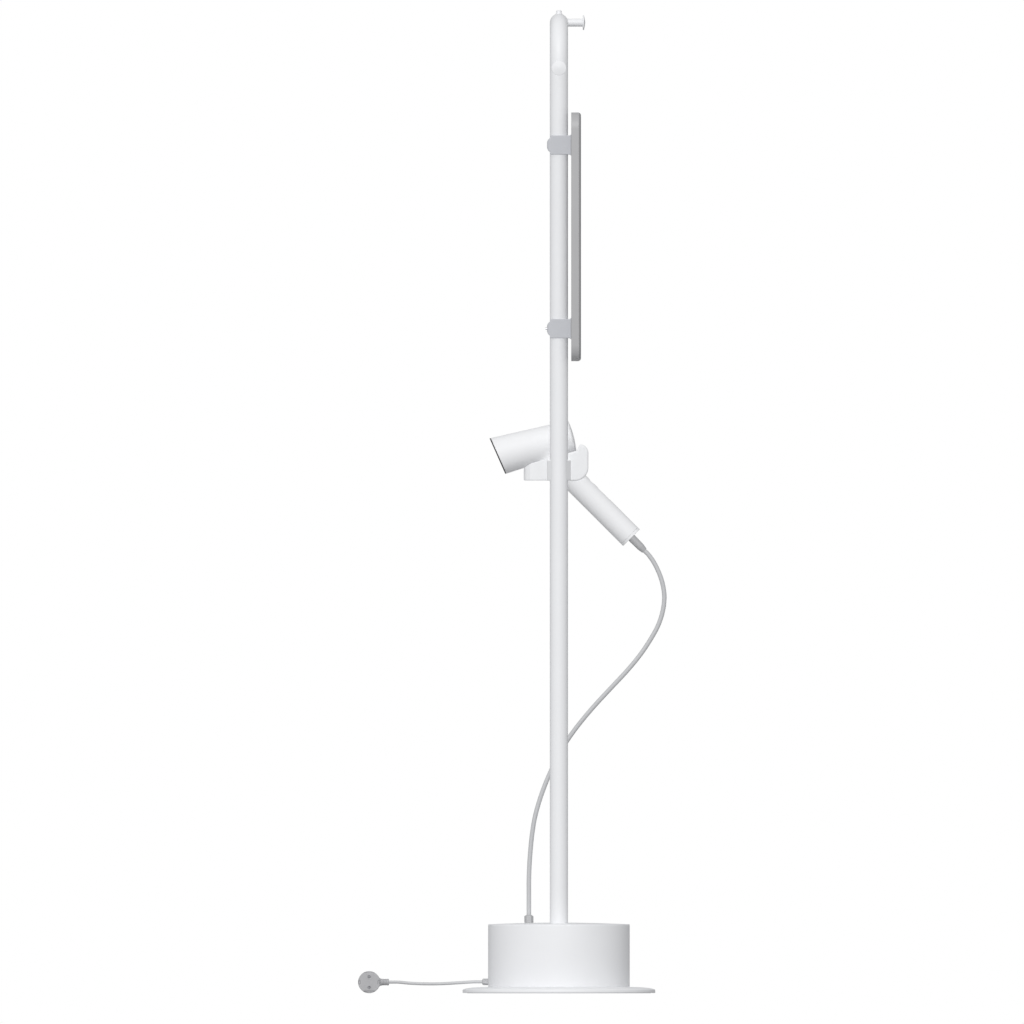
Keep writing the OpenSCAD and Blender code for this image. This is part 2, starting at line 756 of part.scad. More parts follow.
module fan() {
    blades = 7;
    color([0.15, 0.15, 0.15]) on_head() translate([0, 0, 32]) difference() {
        union() {
            cylinder(r = 8, h = 10);
            intersection() {
                for (i = [0 : blades - 1]) rotate(360 * i / blades) translate([7, 0, 5])
                    rotate([38, 0, 0]) translate([0, -0.6, -8]) cube([18, 1.2, 16]);
                cylinder(r = 23.4, h = 10);
            }
        }
        translate([0, 0, -1]) cylinder(r = 1, h = 12);
    }
}

coil_places = [for (i = [0 : 6]) [0, 0, -57 + 7.5 * i]];

module coil_rings(wire_r) {
    on_head() at_each(coil_places) rotate_extrude() translate([21, 0]) circle(wire_r, $fn = 16);
}

module heater_sleeve() {
    color([0.8, 0.75, 0.6]) on_head() translate([0, 0, -61]) difference() {
        cylinder(r = 26.2, h = 57);
        translate([0, 0, -e]) cylinder(r = 25.6, h = 60);
    }
}

module heater_frame() {
    color([0.75, 0.7, 0.55]) difference() {
        on_head() for (a = [45, 135]) rotate(a) translate([-25.4, -0.4, -60])
            cube([50.8, 0.8, 55]);
        coil_rings(0.7 + slip);
    }
}

module heater_coils() {
    color([0.65, 0.55, 0.45]) coil_rings(0.7);
}

// Circuit board with the body of the slide switch and the plunger switch of the button
module switch_board() {
    color([0.1, 0.4, 0.2]) on_handle() {
        translate([-8, -12, 96]) cube([1.6, 24, 62]);
        translate([-14, -5, slider_h - 14]) cube([6 + e, 10, 28]);
        translate([-13.2, -4, button_h - 4]) cube([5.2 + e, 8, 8]);
    }
}

// Thumb slider, flush with the handle, with a flange under the shell
module switch_slider() {
    color([0.75, 0.75, 0.76]) on_handle() {
        intersection() {
            translate([-30, -4, slider_h - 4]) cube([13, 8, 16]);
            cylinder(r = handle_r - 0.2, h = handle_len);
        }
        translate([-17.1, -6, slider_h - 8]) cube([1.6, 12, 24]);
    }
}

// Cool-shot button, flush with the handle, with a flange under the shell
module cool_button() {
    color([0.75, 0.75, 0.76]) on_handle() {
        intersection() {
            translate([0, 0, button_h]) rod_x(5.5, -30, -16);
            cylinder(r = handle_r - 0.2, h = handle_len);
        }
        translate([0, 0, button_h]) rod_x(6.8, -16.8, -15.2);
    }
}

module handle_end_cap() {
    color([0.94, 0.94, 0.95]) on_handle() translate([0, 0, handle_len - 4.3 + slip]) difference() {
        union() {
            cylinder(r = handle_r, h = 4.3 - slip);
            translate([0, 0, -8]) cylinder(r = handle_r - shell_t - 0.2, h = 8 + e);
        }
        translate([0, 0, -20]) cylinder(r = 5.5 + slip, h = 40);
    }
}

module strain_relief() {
    color([0.68, 0.69, 0.7]) on_handle() difference() {
        rotate_extrude() polygon([
            [0, handle_len - 18], [7.5, handle_len - 18], [7.5, handle_len - 14],
            [5.5, handle_len - 14], [5.5, handle_len + slip], [relief_r, handle_len + slip],
            [relief_r - 0.5, relief_end - 9], [5.2, relief_end], [0, relief_end]]);
        translate([0, 0, handle_len - 20]) cylinder(r = cord_d / 2 + slip, h = 80);
    }
}

module handle_lead() {
    color([0.7, 0.7, 0.7]) on_handle() translate([0, 0, lead_start])
        cylinder(r = cord_d / 2, h = relief_end - rest_gap - lead_start);
}

// ---------- Cords and plug ----------

module dryer_cord() {
    color([0.76, 0.77, 0.78]) cord_tube(dryer_route, cord_d, 10, 2);
}

module mains_lead() {
    color([0.6, 0.61, 0.62]) cord_tube(mains_route, mains_d, 8, 1);
}

// The plug lies on its side: +Z runs along its pins, and the lead enters along +X
module on_plug() {
    translate([plug_x, 0, plug_r]) rotate([90, 0, 0]) children();
}

module plug_body() {
    groove_r = 10;
    neck_r = 6.6;
    color([0.7, 0.7, 0.7]) on_plug() difference() {
        union() {
            difference() {
                translate([0, 0, plug_back]) cylinder(r = plug_r, h = plug_face - plug_back);
                translate([-plug_r, 0, 8.7]) rotate([0, -45, 0]) translate([-40, -40, -40])
                    cube([40, 80, 80]);
            }
            rod_x(neck_r, 0, plug_neck_x - plug_x - 2);
            translate([plug_neck_x - plug_x - 2 - e, 0, 0]) rotate([0, 90, 0])
                cylinder(r1 = neck_r, r2 = 5, h = 2 + e);
        }
        for (s = [-1, 1]) translate([0, 0, plug_face])
            rod_y(groove_r, s > 0 ? plug_r - 4 : -plug_r - 4, s > 0 ? plug_r + 4 : 4 - plug_r);
        for (s = [-1, 1]) translate([s * (plug_r - 2.5) - 1.5, -3.5, 14]) cube([3, 7, 30]);
        for (s = [-1, 1]) translate([0, s * pin_pitch / 2, plug_face - pin_root])
            cylinder(r = pin_root_r + slip, h = 20);
    }
}

module plug_pins() {
    color([0.3, 0.3, 0.3]) on_plug() for (s = [-1, 1])
        translate([0, s * pin_pitch / 2, plug_face]) rotate_extrude() polygon([
            [0, -pin_root], [pin_root_r, -pin_root], [pin_root_r, slip], [pin_r, slip],
            [pin_r, pin_len - 1.6], [pin_r * 0.8, pin_len - 0.5], [pin_r * 0.4, pin_len],
            [0, pin_len]]);
}

module plug_earth_strips() {
    color([0.75, 0.75, 0.75]) on_plug() for (s = [-1, 1])
        translate([s * (plug_r - 2.5) - 0.5, -3, 14 + slip]) cube([1, 6, plug_face - 14.5]);
}

// ---------- Every node ----------

floor_pad();
base_plate();
base_bolts();
ballast_weight();
drum_shell();
drum_screws();
drum_lid();
lid_screws();
leg_socket_left();
leg_socket_right();
socket_bolts();
socket_grub_screws();
terminal_block();
inner_dryer_lead();
inner_mains_lead();
cord_gland();
cord_gland_nut();
mains_gland();
mains_gland_nut();
frame_tube();
crown_button();
front_peg();
side_peg_left();
side_peg_right();
mirror_tray();
mirror_backing();
mirror_glass();
clip_upper_left();
clip_upper_right();
clip_lower_left();
clip_lower_right();
clip_screws();
clip_lock_screws();
cradle();
cradle_grub_screws();
dryer_shell_left();
dryer_shell_right();
shell_screws();
outlet_ring();
outlet_grille();
intake_grille();
fan_duct();
motor();
motor_shaft();
fan();
heater_sleeve();
heater_frame();
heater_coils();
switch_board();
switch_slider();
cool_button();
handle_end_cap();
strain_relief();
handle_lead();
dryer_cord();
mains_lead();
plug_body();
plug_pins();
plug_earth_strips();
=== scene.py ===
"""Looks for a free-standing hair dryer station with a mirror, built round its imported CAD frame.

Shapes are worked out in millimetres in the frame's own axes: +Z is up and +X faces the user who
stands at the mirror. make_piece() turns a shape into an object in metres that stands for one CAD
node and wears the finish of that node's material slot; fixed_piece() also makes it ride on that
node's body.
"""
import json
import math

import bmesh
import bpy
import numpy as np
from mathutils import Matrix, Vector


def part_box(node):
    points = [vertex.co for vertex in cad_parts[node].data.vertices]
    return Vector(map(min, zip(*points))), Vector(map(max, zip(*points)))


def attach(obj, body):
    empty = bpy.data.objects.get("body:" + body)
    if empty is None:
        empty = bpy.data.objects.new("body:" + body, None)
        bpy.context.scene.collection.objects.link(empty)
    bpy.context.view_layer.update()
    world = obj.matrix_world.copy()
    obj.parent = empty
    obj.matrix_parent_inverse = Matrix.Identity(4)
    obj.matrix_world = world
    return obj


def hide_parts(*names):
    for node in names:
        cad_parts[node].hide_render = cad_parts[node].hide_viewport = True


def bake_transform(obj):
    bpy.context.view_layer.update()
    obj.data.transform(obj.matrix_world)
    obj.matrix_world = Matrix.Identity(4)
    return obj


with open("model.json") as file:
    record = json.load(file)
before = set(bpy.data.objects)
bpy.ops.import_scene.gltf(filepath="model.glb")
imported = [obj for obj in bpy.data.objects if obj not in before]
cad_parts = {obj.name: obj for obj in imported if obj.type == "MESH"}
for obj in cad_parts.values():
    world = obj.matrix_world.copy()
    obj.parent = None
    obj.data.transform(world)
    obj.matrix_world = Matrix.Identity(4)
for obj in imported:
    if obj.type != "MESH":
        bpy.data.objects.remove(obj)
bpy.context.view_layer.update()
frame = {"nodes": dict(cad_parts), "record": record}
BODY_OF = {n: body for body, names in frame["record"]["behaviour"]["bodies"].items() for n in names}
SLOT_OF = {part["node"]: part["material_slot"] for part in frame["record"]["subparts"]}


def span(node):
    """Lowest and highest corner of a CAD node, in millimetres."""
    low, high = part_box(node)
    return np.array(low) * 1000, np.array(high) * 1000


def mid_height(node):
    low, high = span(node)
    return (low[2] + high[2]) / 2


# ---------- Dimensions, in millimetres ----------

FIT = 0.05  # clearance round a screw, a cord or a tube that goes through a piece

PAD_TOP = span("floor_pad")[1][2]
PAD_OUT_R, PAD_IN_R = 162.0, 126.0
BASE_R = span("base_plate")[1][0]
BASE_BOTTOM = span("base_plate")[0][2]
BASE_TOP = span("base_plate")[1][2]
BASE_RIM_Z = 5.5  # where the dome starts above the rim
BASE_BOLTS_R = 60.0  # radius of the circle that the bolts stand on
BASE_BOLT_R, BASE_BOLT_HEAD_R = 4.0, 8.0
DRUM_R = span("drum_shell")[1][0]
DRUM_TOP = span("drum_shell")[1][2]
DRUM_WALL = 2.0
DRUM_FLANGE_W = 19.0
LID_TOP = span("drum_lid")[1][2]
LID_EDGE = 1.5
LID_SCREWS_R = DRUM_R - 12
LID_SCREW_R, LID_SCREW_HEAD_R = 2.0, 4.0

TUBE_R = span("frame_tube")[1][0]
TUBE_WALL = 2.0
LEG_Y = span("frame_tube")[1][1] - TUBE_R
FRAME_H = span("frame_tube")[1][2]
LEG_FOOT = span("frame_tube")[0][2]
CROWN_Z = FRAME_H - TUBE_R
SPRING_Z = CROWN_Z - LEG_Y
SIDE_PEG_Z = 1633.0
PEG_TIP = span("front_peg")[1][0]

TRAY_LOW, TRAY_HIGH = span("mirror_tray")
GLASS_FRONT = span("mirror_glass")[1][0]
MIRROR_MID_Z = mid_height("mirror_tray")
MIRROR_CORNER_R = 29.0
TRAY_WALL = 2.0
CLIP_Z = {level: mid_height(f"clip_{level}_left") for level in ("upper", "lower")}
CLIP_NOSE = -span("clip_upper_left")[0][0]
CLIP_HALF_W, CLIP_CORNER_R = 19.5, 5.3
LOCK_SCREW_R = 2.0

CROSSING = (-35.7, 0.0, 967.7)  # where the axes of the dryer's head and handle meet
HEAD_TILT = 15.4  # degrees above level, towards the intake
OUTLET_SLANT = 8.5  # degrees that the outlet leans from square
OUTLET_R, INTAKE_R = 34.1, 27.8
HEAD_FRONT, HEAD_LEN = -75.5, 138.0
INTAKE_BASE = HEAD_FRONT + HEAD_LEN - 2.4  # the casing ends here, and the intake cap starts
SHELL_T = 2.2
HANDLE_R, HANDLE_LEN, END_CAP = 20.8, 231.5, 4.3
BUTTON_AT, SLIDER_AT = 112.0, 142.0
RELIEF_R, RELIEF_REACH = 7.3, 186.7
RELIEF_END = RELIEF_REACH * math.sqrt(2)
SHELL_SCREWS = [(9.0, 50.0), (9.0, 165.0), (9.0, 207.0)]  # across and along the handle

CRADLE_LOW, CRADLE_HIGH = span("cradle")
COLLAR_R, COLLAR_H = 20.4, 35.5
REST_GAP = 0.3
CHEEK_IN, CHEEK_OUT = HANDLE_R + REST_GAP, 28.0
FORK_DROP = 27.5  # from the head's axis down to the top of the fork
TONGUE_HALF_W, TONGUE_CORNER_R = 15.0, 12.4

GLAND_TOP = span("cord_gland")[1][2]
GLAND_X = -53.0
GLAND_HEX_R, GLAND_STEM_R = 8.2, 6.0
MAINS_Z = 20.0
MAINS_HEX_R, MAINS_STEM_R = 5.9, 4.0
MAINS_GLAND_TIP = span("mains_gland")[0][0]
PLUG_X, PLUG_R, PLUG_NECK = -335.0, 19.5, 35.0
PLUG_FACE, PLUG_BACK = 34.3, -7.0
PIN_PITCH, PIN_R, PIN_LEN = 19.0, 2.4, 19.0

HEAD = Matrix.Translation(CROSSING) @ Matrix.Rotation(math.radians(90 - HEAD_TILT), 4, "Y")
HANDLE = Matrix.Translation(CROSSING) @ Matrix.Rotation(math.radians(135), 4, "Y")
OUTLET = (HEAD @ Matrix.Translation((0, 0, HEAD_FRONT))
          @ Matrix.Rotation(math.radians(-OUTLET_SLANT), 4, "Y"))
PLUG = Matrix.Translation((PLUG_X, 0, PLUG_R)) @ Matrix.Rotation(math.radians(90), 4, "X")

# Centre lines of the two cords, [x, z] in metres, as in the CAD source
DRYER_ROUTE = [
    (0.151, 0.781), (0.158, 0.774), (0.166, 0.763), (0.174, 0.748), (0.181, 0.730),
    (0.185, 0.712), (0.186, 0.695), (0.183, 0.673), (0.175, 0.649), (0.162, 0.625),
    (0.144, 0.598), (0.121, 0.570), (0.094, 0.541), (0.067, 0.512), (0.042, 0.483),
    (0.020, 0.454), (0.002, 0.425), (-0.012, 0.397), (-0.024, 0.369), (-0.034, 0.341),
    (-0.042, 0.312), (-0.047, 0.283), (-0.050, 0.255), (-0.052, 0.227), (-0.053, 0.199),
    (-0.053, 0.170), (-0.053, 0.138)]
MAINS_ROUTE = [
    (-0.136, 0.020), (-0.150, 0.020), (-0.167, 0.019), (-0.184, 0.018), (-0.201, 0.017),
    (-0.218, 0.0165), (-0.235, 0.0165), (-0.252, 0.017), (-0.268, 0.018), (-0.284, 0.0195),
    (-0.300, 0.0195)]
DRYER_CORD_D, MAINS_D = 8.0, 5.4

# ---------- Camera, light and floor ----------

VIEW_CENTRE = (-0.0828, 0.8493)  # what the camera looks at, in x and z, in metres
VIEW_WIDTH = 1.8074
VIEW_DISTANCE = 4.0
SUN_FROM = Vector((-0.07, -0.85, 0.52))
SUN_POWER = 1.87
SKY_LEVEL = 0.44
SKY_SLOPE = (-0.07, 0.0, 0.035)


def set_camera():
    data = bpy.data.cameras.new("camera")
    data.type = "ORTHO"
    data.ortho_scale = VIEW_WIDTH
    data.clip_end = 50
    camera = bpy.data.objects.new("camera", data)
    camera.location = (VIEW_CENTRE[0], -VIEW_DISTANCE, VIEW_CENTRE[1])
    camera.rotation_euler = (math.radians(90), 0, 0)
    bpy.context.scene.collection.objects.link(camera)
    bpy.context.scene.camera = camera


def set_light():
    """A soft sky, a little brighter on the left and above, one soft key light, and white behind."""
    scene = bpy.context.scene
    scene.view_settings.view_transform = "Standard"
    world = scene.world = bpy.data.worlds.new("studio")
    world.use_nodes = True
    nodes, link = world.node_tree.nodes, world.node_tree.links.new
    sky = nodes["Background"]
    sky.inputs["Color"].default_value = (0.98, 0.985, 1.0, 1)
    place = nodes.new("ShaderNodeTexCoord")
    slope = nodes.new("ShaderNodeVectorMath")
    slope.operation = "DOT_PRODUCT"
    slope.inputs[1].default_value = SKY_SLOPE
    level = nodes.new("ShaderNodeMath")
    level.inputs[1].default_value = SKY_LEVEL
    backdrop = nodes.new("ShaderNodeBackground")
    backdrop.inputs["Color"].default_value = (1, 1, 1, 1)
    path = nodes.new("ShaderNodeLightPath")
    mix = nodes.new("ShaderNodeMixShader")
    link(place.outputs["Generated"], slope.inputs[0])
    link(slope.outputs["Value"], level.inputs[0])
    link(level.outputs["Value"], sky.inputs["Strength"])
    link(path.outputs["Is Camera Ray"], mix.inputs["Fac"])
    link(sky.outputs["Background"], mix.inputs[1])
    link(backdrop.outputs["Background"], mix.inputs[2])
    link(mix.outputs["Shader"], nodes["World Output"].inputs["Surface"])
    sun = bpy.data.lights.new("key", "SUN")
    sun.energy = SUN_POWER
    sun.angle = math.radians(40)
    sun.use_shadow = False  # the photo's soft light throws no visible shadows
    key = bpy.data.objects.new("key", sun)
    key.rotation_mode = "QUATERNION"
    key.rotation_quaternion = (-SUN_FROM).to_track_quat("-Z", "Y")
    scene.collection.objects.link(key)


# ---------- Finishes ----------

def finish(name, colour, rough, metal=0.0, tone=0.025, grain=900.0, depth=0.012,
           stretch=(1, 1, 1), rough_range=0.05, specular=0.5, coat=0.0):
    """A material with slow colour variation, fine grain, and roughness that follows the grain."""
    material = bpy.data.materials.new(name)
    material.use_nodes = True
    nodes, link = material.node_tree.nodes, material.node_tree.links.new
    shader = nodes["Principled BSDF"]
    shader.inputs["Metallic"].default_value = metal
    shader.inputs["Specular IOR Level"].default_value = specular
    shader.inputs["Coat Weight"].default_value = coat
    shader.inputs["Coat Roughness"].default_value = 0.15
    place = nodes.new("ShaderNodeTexCoord")
    mapping = nodes.new("ShaderNodeMapping")
    mapping.inputs["Scale"].default_value = stretch
    link(place.outputs["Object"], mapping.inputs["Vector"])
    slow, fine = nodes.new("ShaderNodeTexNoise"), nodes.new("ShaderNodeTexNoise")
    slow.inputs["Scale"].default_value = 14.0
    slow.inputs["Detail"].default_value = 5.0
    fine.inputs["Scale"].default_value = grain
    fine.inputs["Detail"].default_value = 2.0
    for noise in (slow, fine):
        link(mapping.outputs["Vector"], noise.inputs["Vector"])
    shade = nodes.new("ShaderNodeMix")
    shade.data_type = "RGBA"
    shade.inputs["A"].default_value = (*[max(0.0, c * (1 - tone)) for c in colour], 1)
    shade.inputs["B"].default_value = (*[min(1.0, c * (1 + tone)) for c in colour], 1)
    link(slow.outputs["Fac"], shade.inputs["Factor"])
    link(shade.outputs["Result"], shader.inputs["Base Color"])
    gloss = nodes.new("ShaderNodeMapRange")
    gloss.inputs["From Min"].default_value = 0.3
    gloss.inputs["From Max"].default_value = 0.7
    gloss.inputs["To Min"].default_value = max(0.02, rough - rough_range)
    gloss.inputs["To Max"].default_value = min(1.0, rough + rough_range)
    link(fine.outputs["Fac"], gloss.inputs["Value"])
    link(gloss.outputs["Result"], shader.inputs["Roughness"])
    bump = nodes.new("ShaderNodeBump")
    bump.inputs["Distance"].default_value = depth / 1000
    link(fine.outputs["Fac"], bump.inputs["Height"])
    link(bump.outputs["Normal"], shader.inputs["Normal"])
    return material


FINISHES = {
    "white_paint": finish("white_paint", (0.86, 0.866, 0.88), 0.45, grain=700, depth=0.015,
                          specular=0.35),
    "white_plastic": finish("white_plastic", (0.88, 0.883, 0.892), 0.5, tone=0.015, grain=1600,
                            specular=0.15),
    "cradle_white": finish("cradle_white", (0.872, 0.878, 0.887), 0.5, tone=0.015, grain=1400,
                           specular=0.3),
    "clip_grey": finish("clip_grey", (0.55, 0.56, 0.59), 0.5, grain=1500),
    "tray_grey": finish("tray_grey", (0.44, 0.44, 0.445), 0.45, grain=800, depth=0.015),
    "mirror_glass": finish("mirror_glass", (0.86, 0.88, 0.89), 0.03, metal=1.0, tone=0.005,
                           grain=3.0, depth=0.002, rough_range=0.005),
    "backing_board": finish("backing_board", (0.3, 0.28, 0.25), 0.8),
    "cord_grey": finish("cord_grey", (0.56, 0.565, 0.575), 0.5, tone=0.04, grain=1800, depth=0.02),
    "gland_grey": finish("gland_grey", (0.46, 0.462, 0.47), 0.5, grain=1500),
    "plug_grey": finish("plug_grey", (0.44, 0.44, 0.45), 0.48, tone=0.04, grain=1300, depth=0.02),
    "pin_nickel": finish("pin_nickel", (0.36, 0.36, 0.38), 0.28, metal=1.0, grain=1200,
                         stretch=(1, 0.05, 1)),
    "black_rubber": finish("black_rubber", (0.03, 0.03, 0.032), 0.75, tone=0.15, depth=0.04),
    "black_plastic": finish("black_plastic", (0.025, 0.025, 0.027), 0.4, tone=0.15),
    "zinc_steel": finish("zinc_steel", (0.62, 0.62, 0.64), 0.35, metal=1.0, tone=0.06),
    "cast_iron": finish("cast_iron", (0.09, 0.09, 0.095), 0.7, metal=0.6, tone=0.2, grain=300,
                        depth=0.15),
    "terminal_cream": finish("terminal_cream", (0.75, 0.72, 0.62), 0.5),
    "motor_steel": finish("motor_steel", (0.5, 0.5, 0.52), 0.35, metal=1.0, tone=0.05),
    "mica": finish("mica", (0.6, 0.52, 0.38), 0.5, tone=0.15, grain=500),
    "heater_wire": finish("heater_wire", (0.42, 0.36, 0.3), 0.45, metal=1.0, tone=0.1),
    "board_green": finish("board_green", (0.04, 0.2, 0.08), 0.45, tone=0.1),
    "control_grey": finish("control_grey", (0.5, 0.505, 0.515), 0.42, grain=1500),
    "intake_white": finish("intake_white", (0.85, 0.853, 0.862), 0.5, tone=0.015, grain=1600,
                           specular=0.2),
}
GLASS_EDGE = finish("glass_edge", (0.29, 0.29, 0.295), 0.35, tone=0.04)
FLOOR_FINISH = finish("floor_pale", (0.88, 0.88, 0.885), 0.8, tone=0.01, grain=60, depth=0.05)


def dress_cad_nodes():
    """Every CAD node wears the finish of its slot."""
    for name, node in frame["nodes"].items():
        node.data.materials.clear()
        node.data.materials.append(FINISHES[SLOT_OF[name]])


# ---------- Shapes: pairs of points and faces, in millimetres ----------

def join(*shapes):
    """Several shapes as one."""
    points, faces = [], []
    for shape_points, shape_faces in shapes:
        faces += [[i + len(points) for i in face] for face in shape_faces]
        points += [tuple(p) for p in shape_points]
    return points, faces


def moved(shape, place):
    """The shape taken through a 4 by 4 matrix."""
    turn, shift = np.array(place)[:3, :3], np.array(place)[:3, 3]
    return np.asarray(shape[0], float) @ turn.T + shift, shape[1]


def shifted(shape, x=0.0, y=0.0, z=0.0):
    return moved(shape, Matrix.Translation((x, y, z)))


def rounded(corners, steps=5):
    """A 2-D outline whose corners may each have a fillet radius as a third number."""
    outline = []
    for i, corner in enumerate(corners):
        at = np.array(corner[:2], float)
        if len(corner) < 3:
            outline.append(at)
            continue
        back = np.array(corners[i - 1][:2]) - at
        on = np.array(corners[(i + 1) % len(corners)][:2]) - at
        back, on = back / np.linalg.norm(back), on / np.linalg.norm(on)
        half = math.acos(np.clip(back @ on, -1, 1)) / 2
        centre = at + (back + on) / np.linalg.norm(back + on) * corner[2] / math.sin(half)
        start = at + back * corner[2] / math.tan(half) - centre
        end = at + on * corner[2] / math.tan(half) - centre
        for k in range(steps + 1):
            ray = start * (1 - k / steps) + end * k / steps
            outline.append(centre + ray / np.linalg.norm(ray) * corner[2])
    return [tuple(p) for p in outline]


def lathe(outline, sides=96, place=Matrix()):
    """Turns a (radius, z) outline about +Z. It starts and ends on the axis, or is a closed ring."""
    points, rings, faces = [], [], []
    for r, z in outline:
        if r < 1e-6:
            rings.append([len(points)] * sides)
            points.append((0, 0, z))
        else:
            rings.append(list(range(len(points), len(points) + sides)))
            points += [(r * math.cos(2 * math.pi * k / sides),
                        r * math.sin(2 * math.pi * k / sides), z) for k in range(sides)]
    on_axis = outline[0][0] < 1e-6
    for i in range(len(rings) - on_axis):
        low, high = rings[i], rings[(i + 1) % len(rings)]
        for k in range(sides):
            around = [low[k], low[(k + 1) % sides], high[(k + 1) % sides], high[k]]
            face = list(dict.fromkeys(around))
            if len(face) > 2:
                faces.append(face)
    return moved((points, faces), place)


def loft(loops):
    """Joins loops of equally many points, and closes the first and the last."""
    count = len(loops[0])
    points = [tuple(p) for loop in loops for p in loop]
    faces = [[i * count + k, i * count + (k + 1) % count, (i + 1) * count + (k + 1) % count,
              (i + 1) * count + k] for i in range(len(loops) - 1) for k in range(count)]
    faces += [list(range(count))[::-1], list(range(len(points) - count, len(points)))]
    return points, faces


def circle_about(path, radius, sides):
    """Rings of a tube that follows a path, turned as little as possible from one to the next."""
    path = np.asarray(path, float)
    heading = np.gradient(path, axis=0)
    heading /= np.linalg.norm(heading, axis=1)[:, None]
    across = np.cross(heading[0], (0.0, 1.0, 0.0))
    if np.linalg.norm(across) < 0.1:
        across = np.cross(heading[0], (1.0, 0.0, 0.0))
    rings = []
    for at, along in zip(path, heading):
        across = across - (across @ along) * along
        across /= np.linalg.norm(across)
        other = np.cross(along, across)
        rings.append([at + radius * (across * math.cos(a) + other * math.sin(a))
                      for a in np.arange(sides) * 2 * math.pi / sides])
    return rings


def rod(path, radius, sides=20):
    """A solid rod with flat ends along a path."""
    return loft(circle_about(path, radius, sides))


def pipe(path, radius, bore, sides=72):
    """A tube with a wall, open at both ends."""
    outer, inner = circle_about(path, radius, sides), circle_about(path, bore, sides)
    points, faces = loft(outer + inner[::-1] + outer[:1])
    count = len(points) - sides
    return points[:count], [[i % count for i in face] for face in faces[:-2]]


def smooth_path(route, parts=8):
    """A smooth curve through listed [x, z] points in metres, as points in millimetres."""
    p = np.array([(x, 0.0, z) for x, z in route]) * 1000
    last = len(p) - 1
    line = []
    for i in range(last):
        a, b, c, d = p[max(i - 1, 0)], p[i], p[i + 1], p[min(i + 2, last)]
        for u in np.arange(parts) / parts:
            line.append(0.5 * (2 * b + (c - a) * u + (2 * a - 5 * b + 4 * c - d) * u**2
                               + (3 * b - a - 3 * c + d) * u**3))
    return np.array(line + [p[last]])


def rounded_loop(width, height, radius, x, mid_z, steps=10):
    """A rounded rectangle in the YZ plane, as one loop of points."""
    loop = []
    for quarter, (sy, sz) in enumerate([(1, 1), (-1, 1), (-1, -1), (1, -1)]):
        for k in range(steps + 1):
            a = math.pi / 2 * (quarter + k / steps)
            loop.append((x, sy * (width / 2 - radius) + radius * math.cos(a),
                         mid_z + sz * (height / 2 - radius) + radius * math.sin(a)))
    return loop


def slab(length, width, height, edge):
    """A bar centred on the origin, standing on z = 0, with chamfered long edges."""
    loops = [(-edge, 0.0), (0.0, edge), (0.0, height - edge), (-edge, height)]
    return loft([[(sx * (length / 2 + grow), sy * (width / 2 + grow), z)
                  for sx, sy in ((1, 1), (-1, 1), (-1, -1), (1, -1))] for grow, z in loops])


def hexagon_prism(radius, low, high):
    return loft([[(radius * math.cos(a), radius * math.sin(a), z)
                  for a in np.arange(6) * math.pi / 3] for z in (low, high)])


# ---------- Solids given by a distance field, negative inside ----------

def both(a, b, r=0.0):
    """The overlap of two fields, with its edge rounded to radius r."""
    if r == 0:
        return np.maximum(a, b)
    return np.minimum(-r, np.maximum(a, b)) + np.hypot(np.maximum(a + r, 0), np.maximum(b + r, 0))


def either(a, b, r=0.0):
    """The union of two fields, with a fillet of radius r where they meet."""
    return -both(-a, -b, r)


def less(a, b, r=0.0):
    """Field a with b taken out of it, with its edge rounded to radius r."""
    return both(a, -b, r)


def between(value, low, high):
    return np.abs(value - (low + high) / 2) - (high - low) / 2


def in_outline(outline, u, v):
    """Signed distance to a closed 2-D outline."""
    nearest, sign = np.full(u.shape, np.inf), np.ones(u.shape)
    for (au, av), (bu, bv) in zip(outline, outline[1:] + outline[:1]):
        eu, ev, wu, wv = bu - au, bv - av, u - au, v - av
        t = np.clip((wu * eu + wv * ev) / (eu * eu + ev * ev), 0, 1)
        nearest = np.minimum(nearest, (wu - eu * t) ** 2 + (wv - ev * t) ** 2)
        above, below, left = v >= av, v < bv, eu * wv > ev * wu
        sign[(above & below & left) | ~(above | below | left)] *= -1
    return sign * np.sqrt(nearest)


def seen_from(place, points):
    """Points given in the coordinates of a 4 by 4 placing matrix, as three columns."""
    turn, shift = np.array(place)[:3, :3], np.array(place)[:3, 3]
    return ((points - shift) @ turn).T


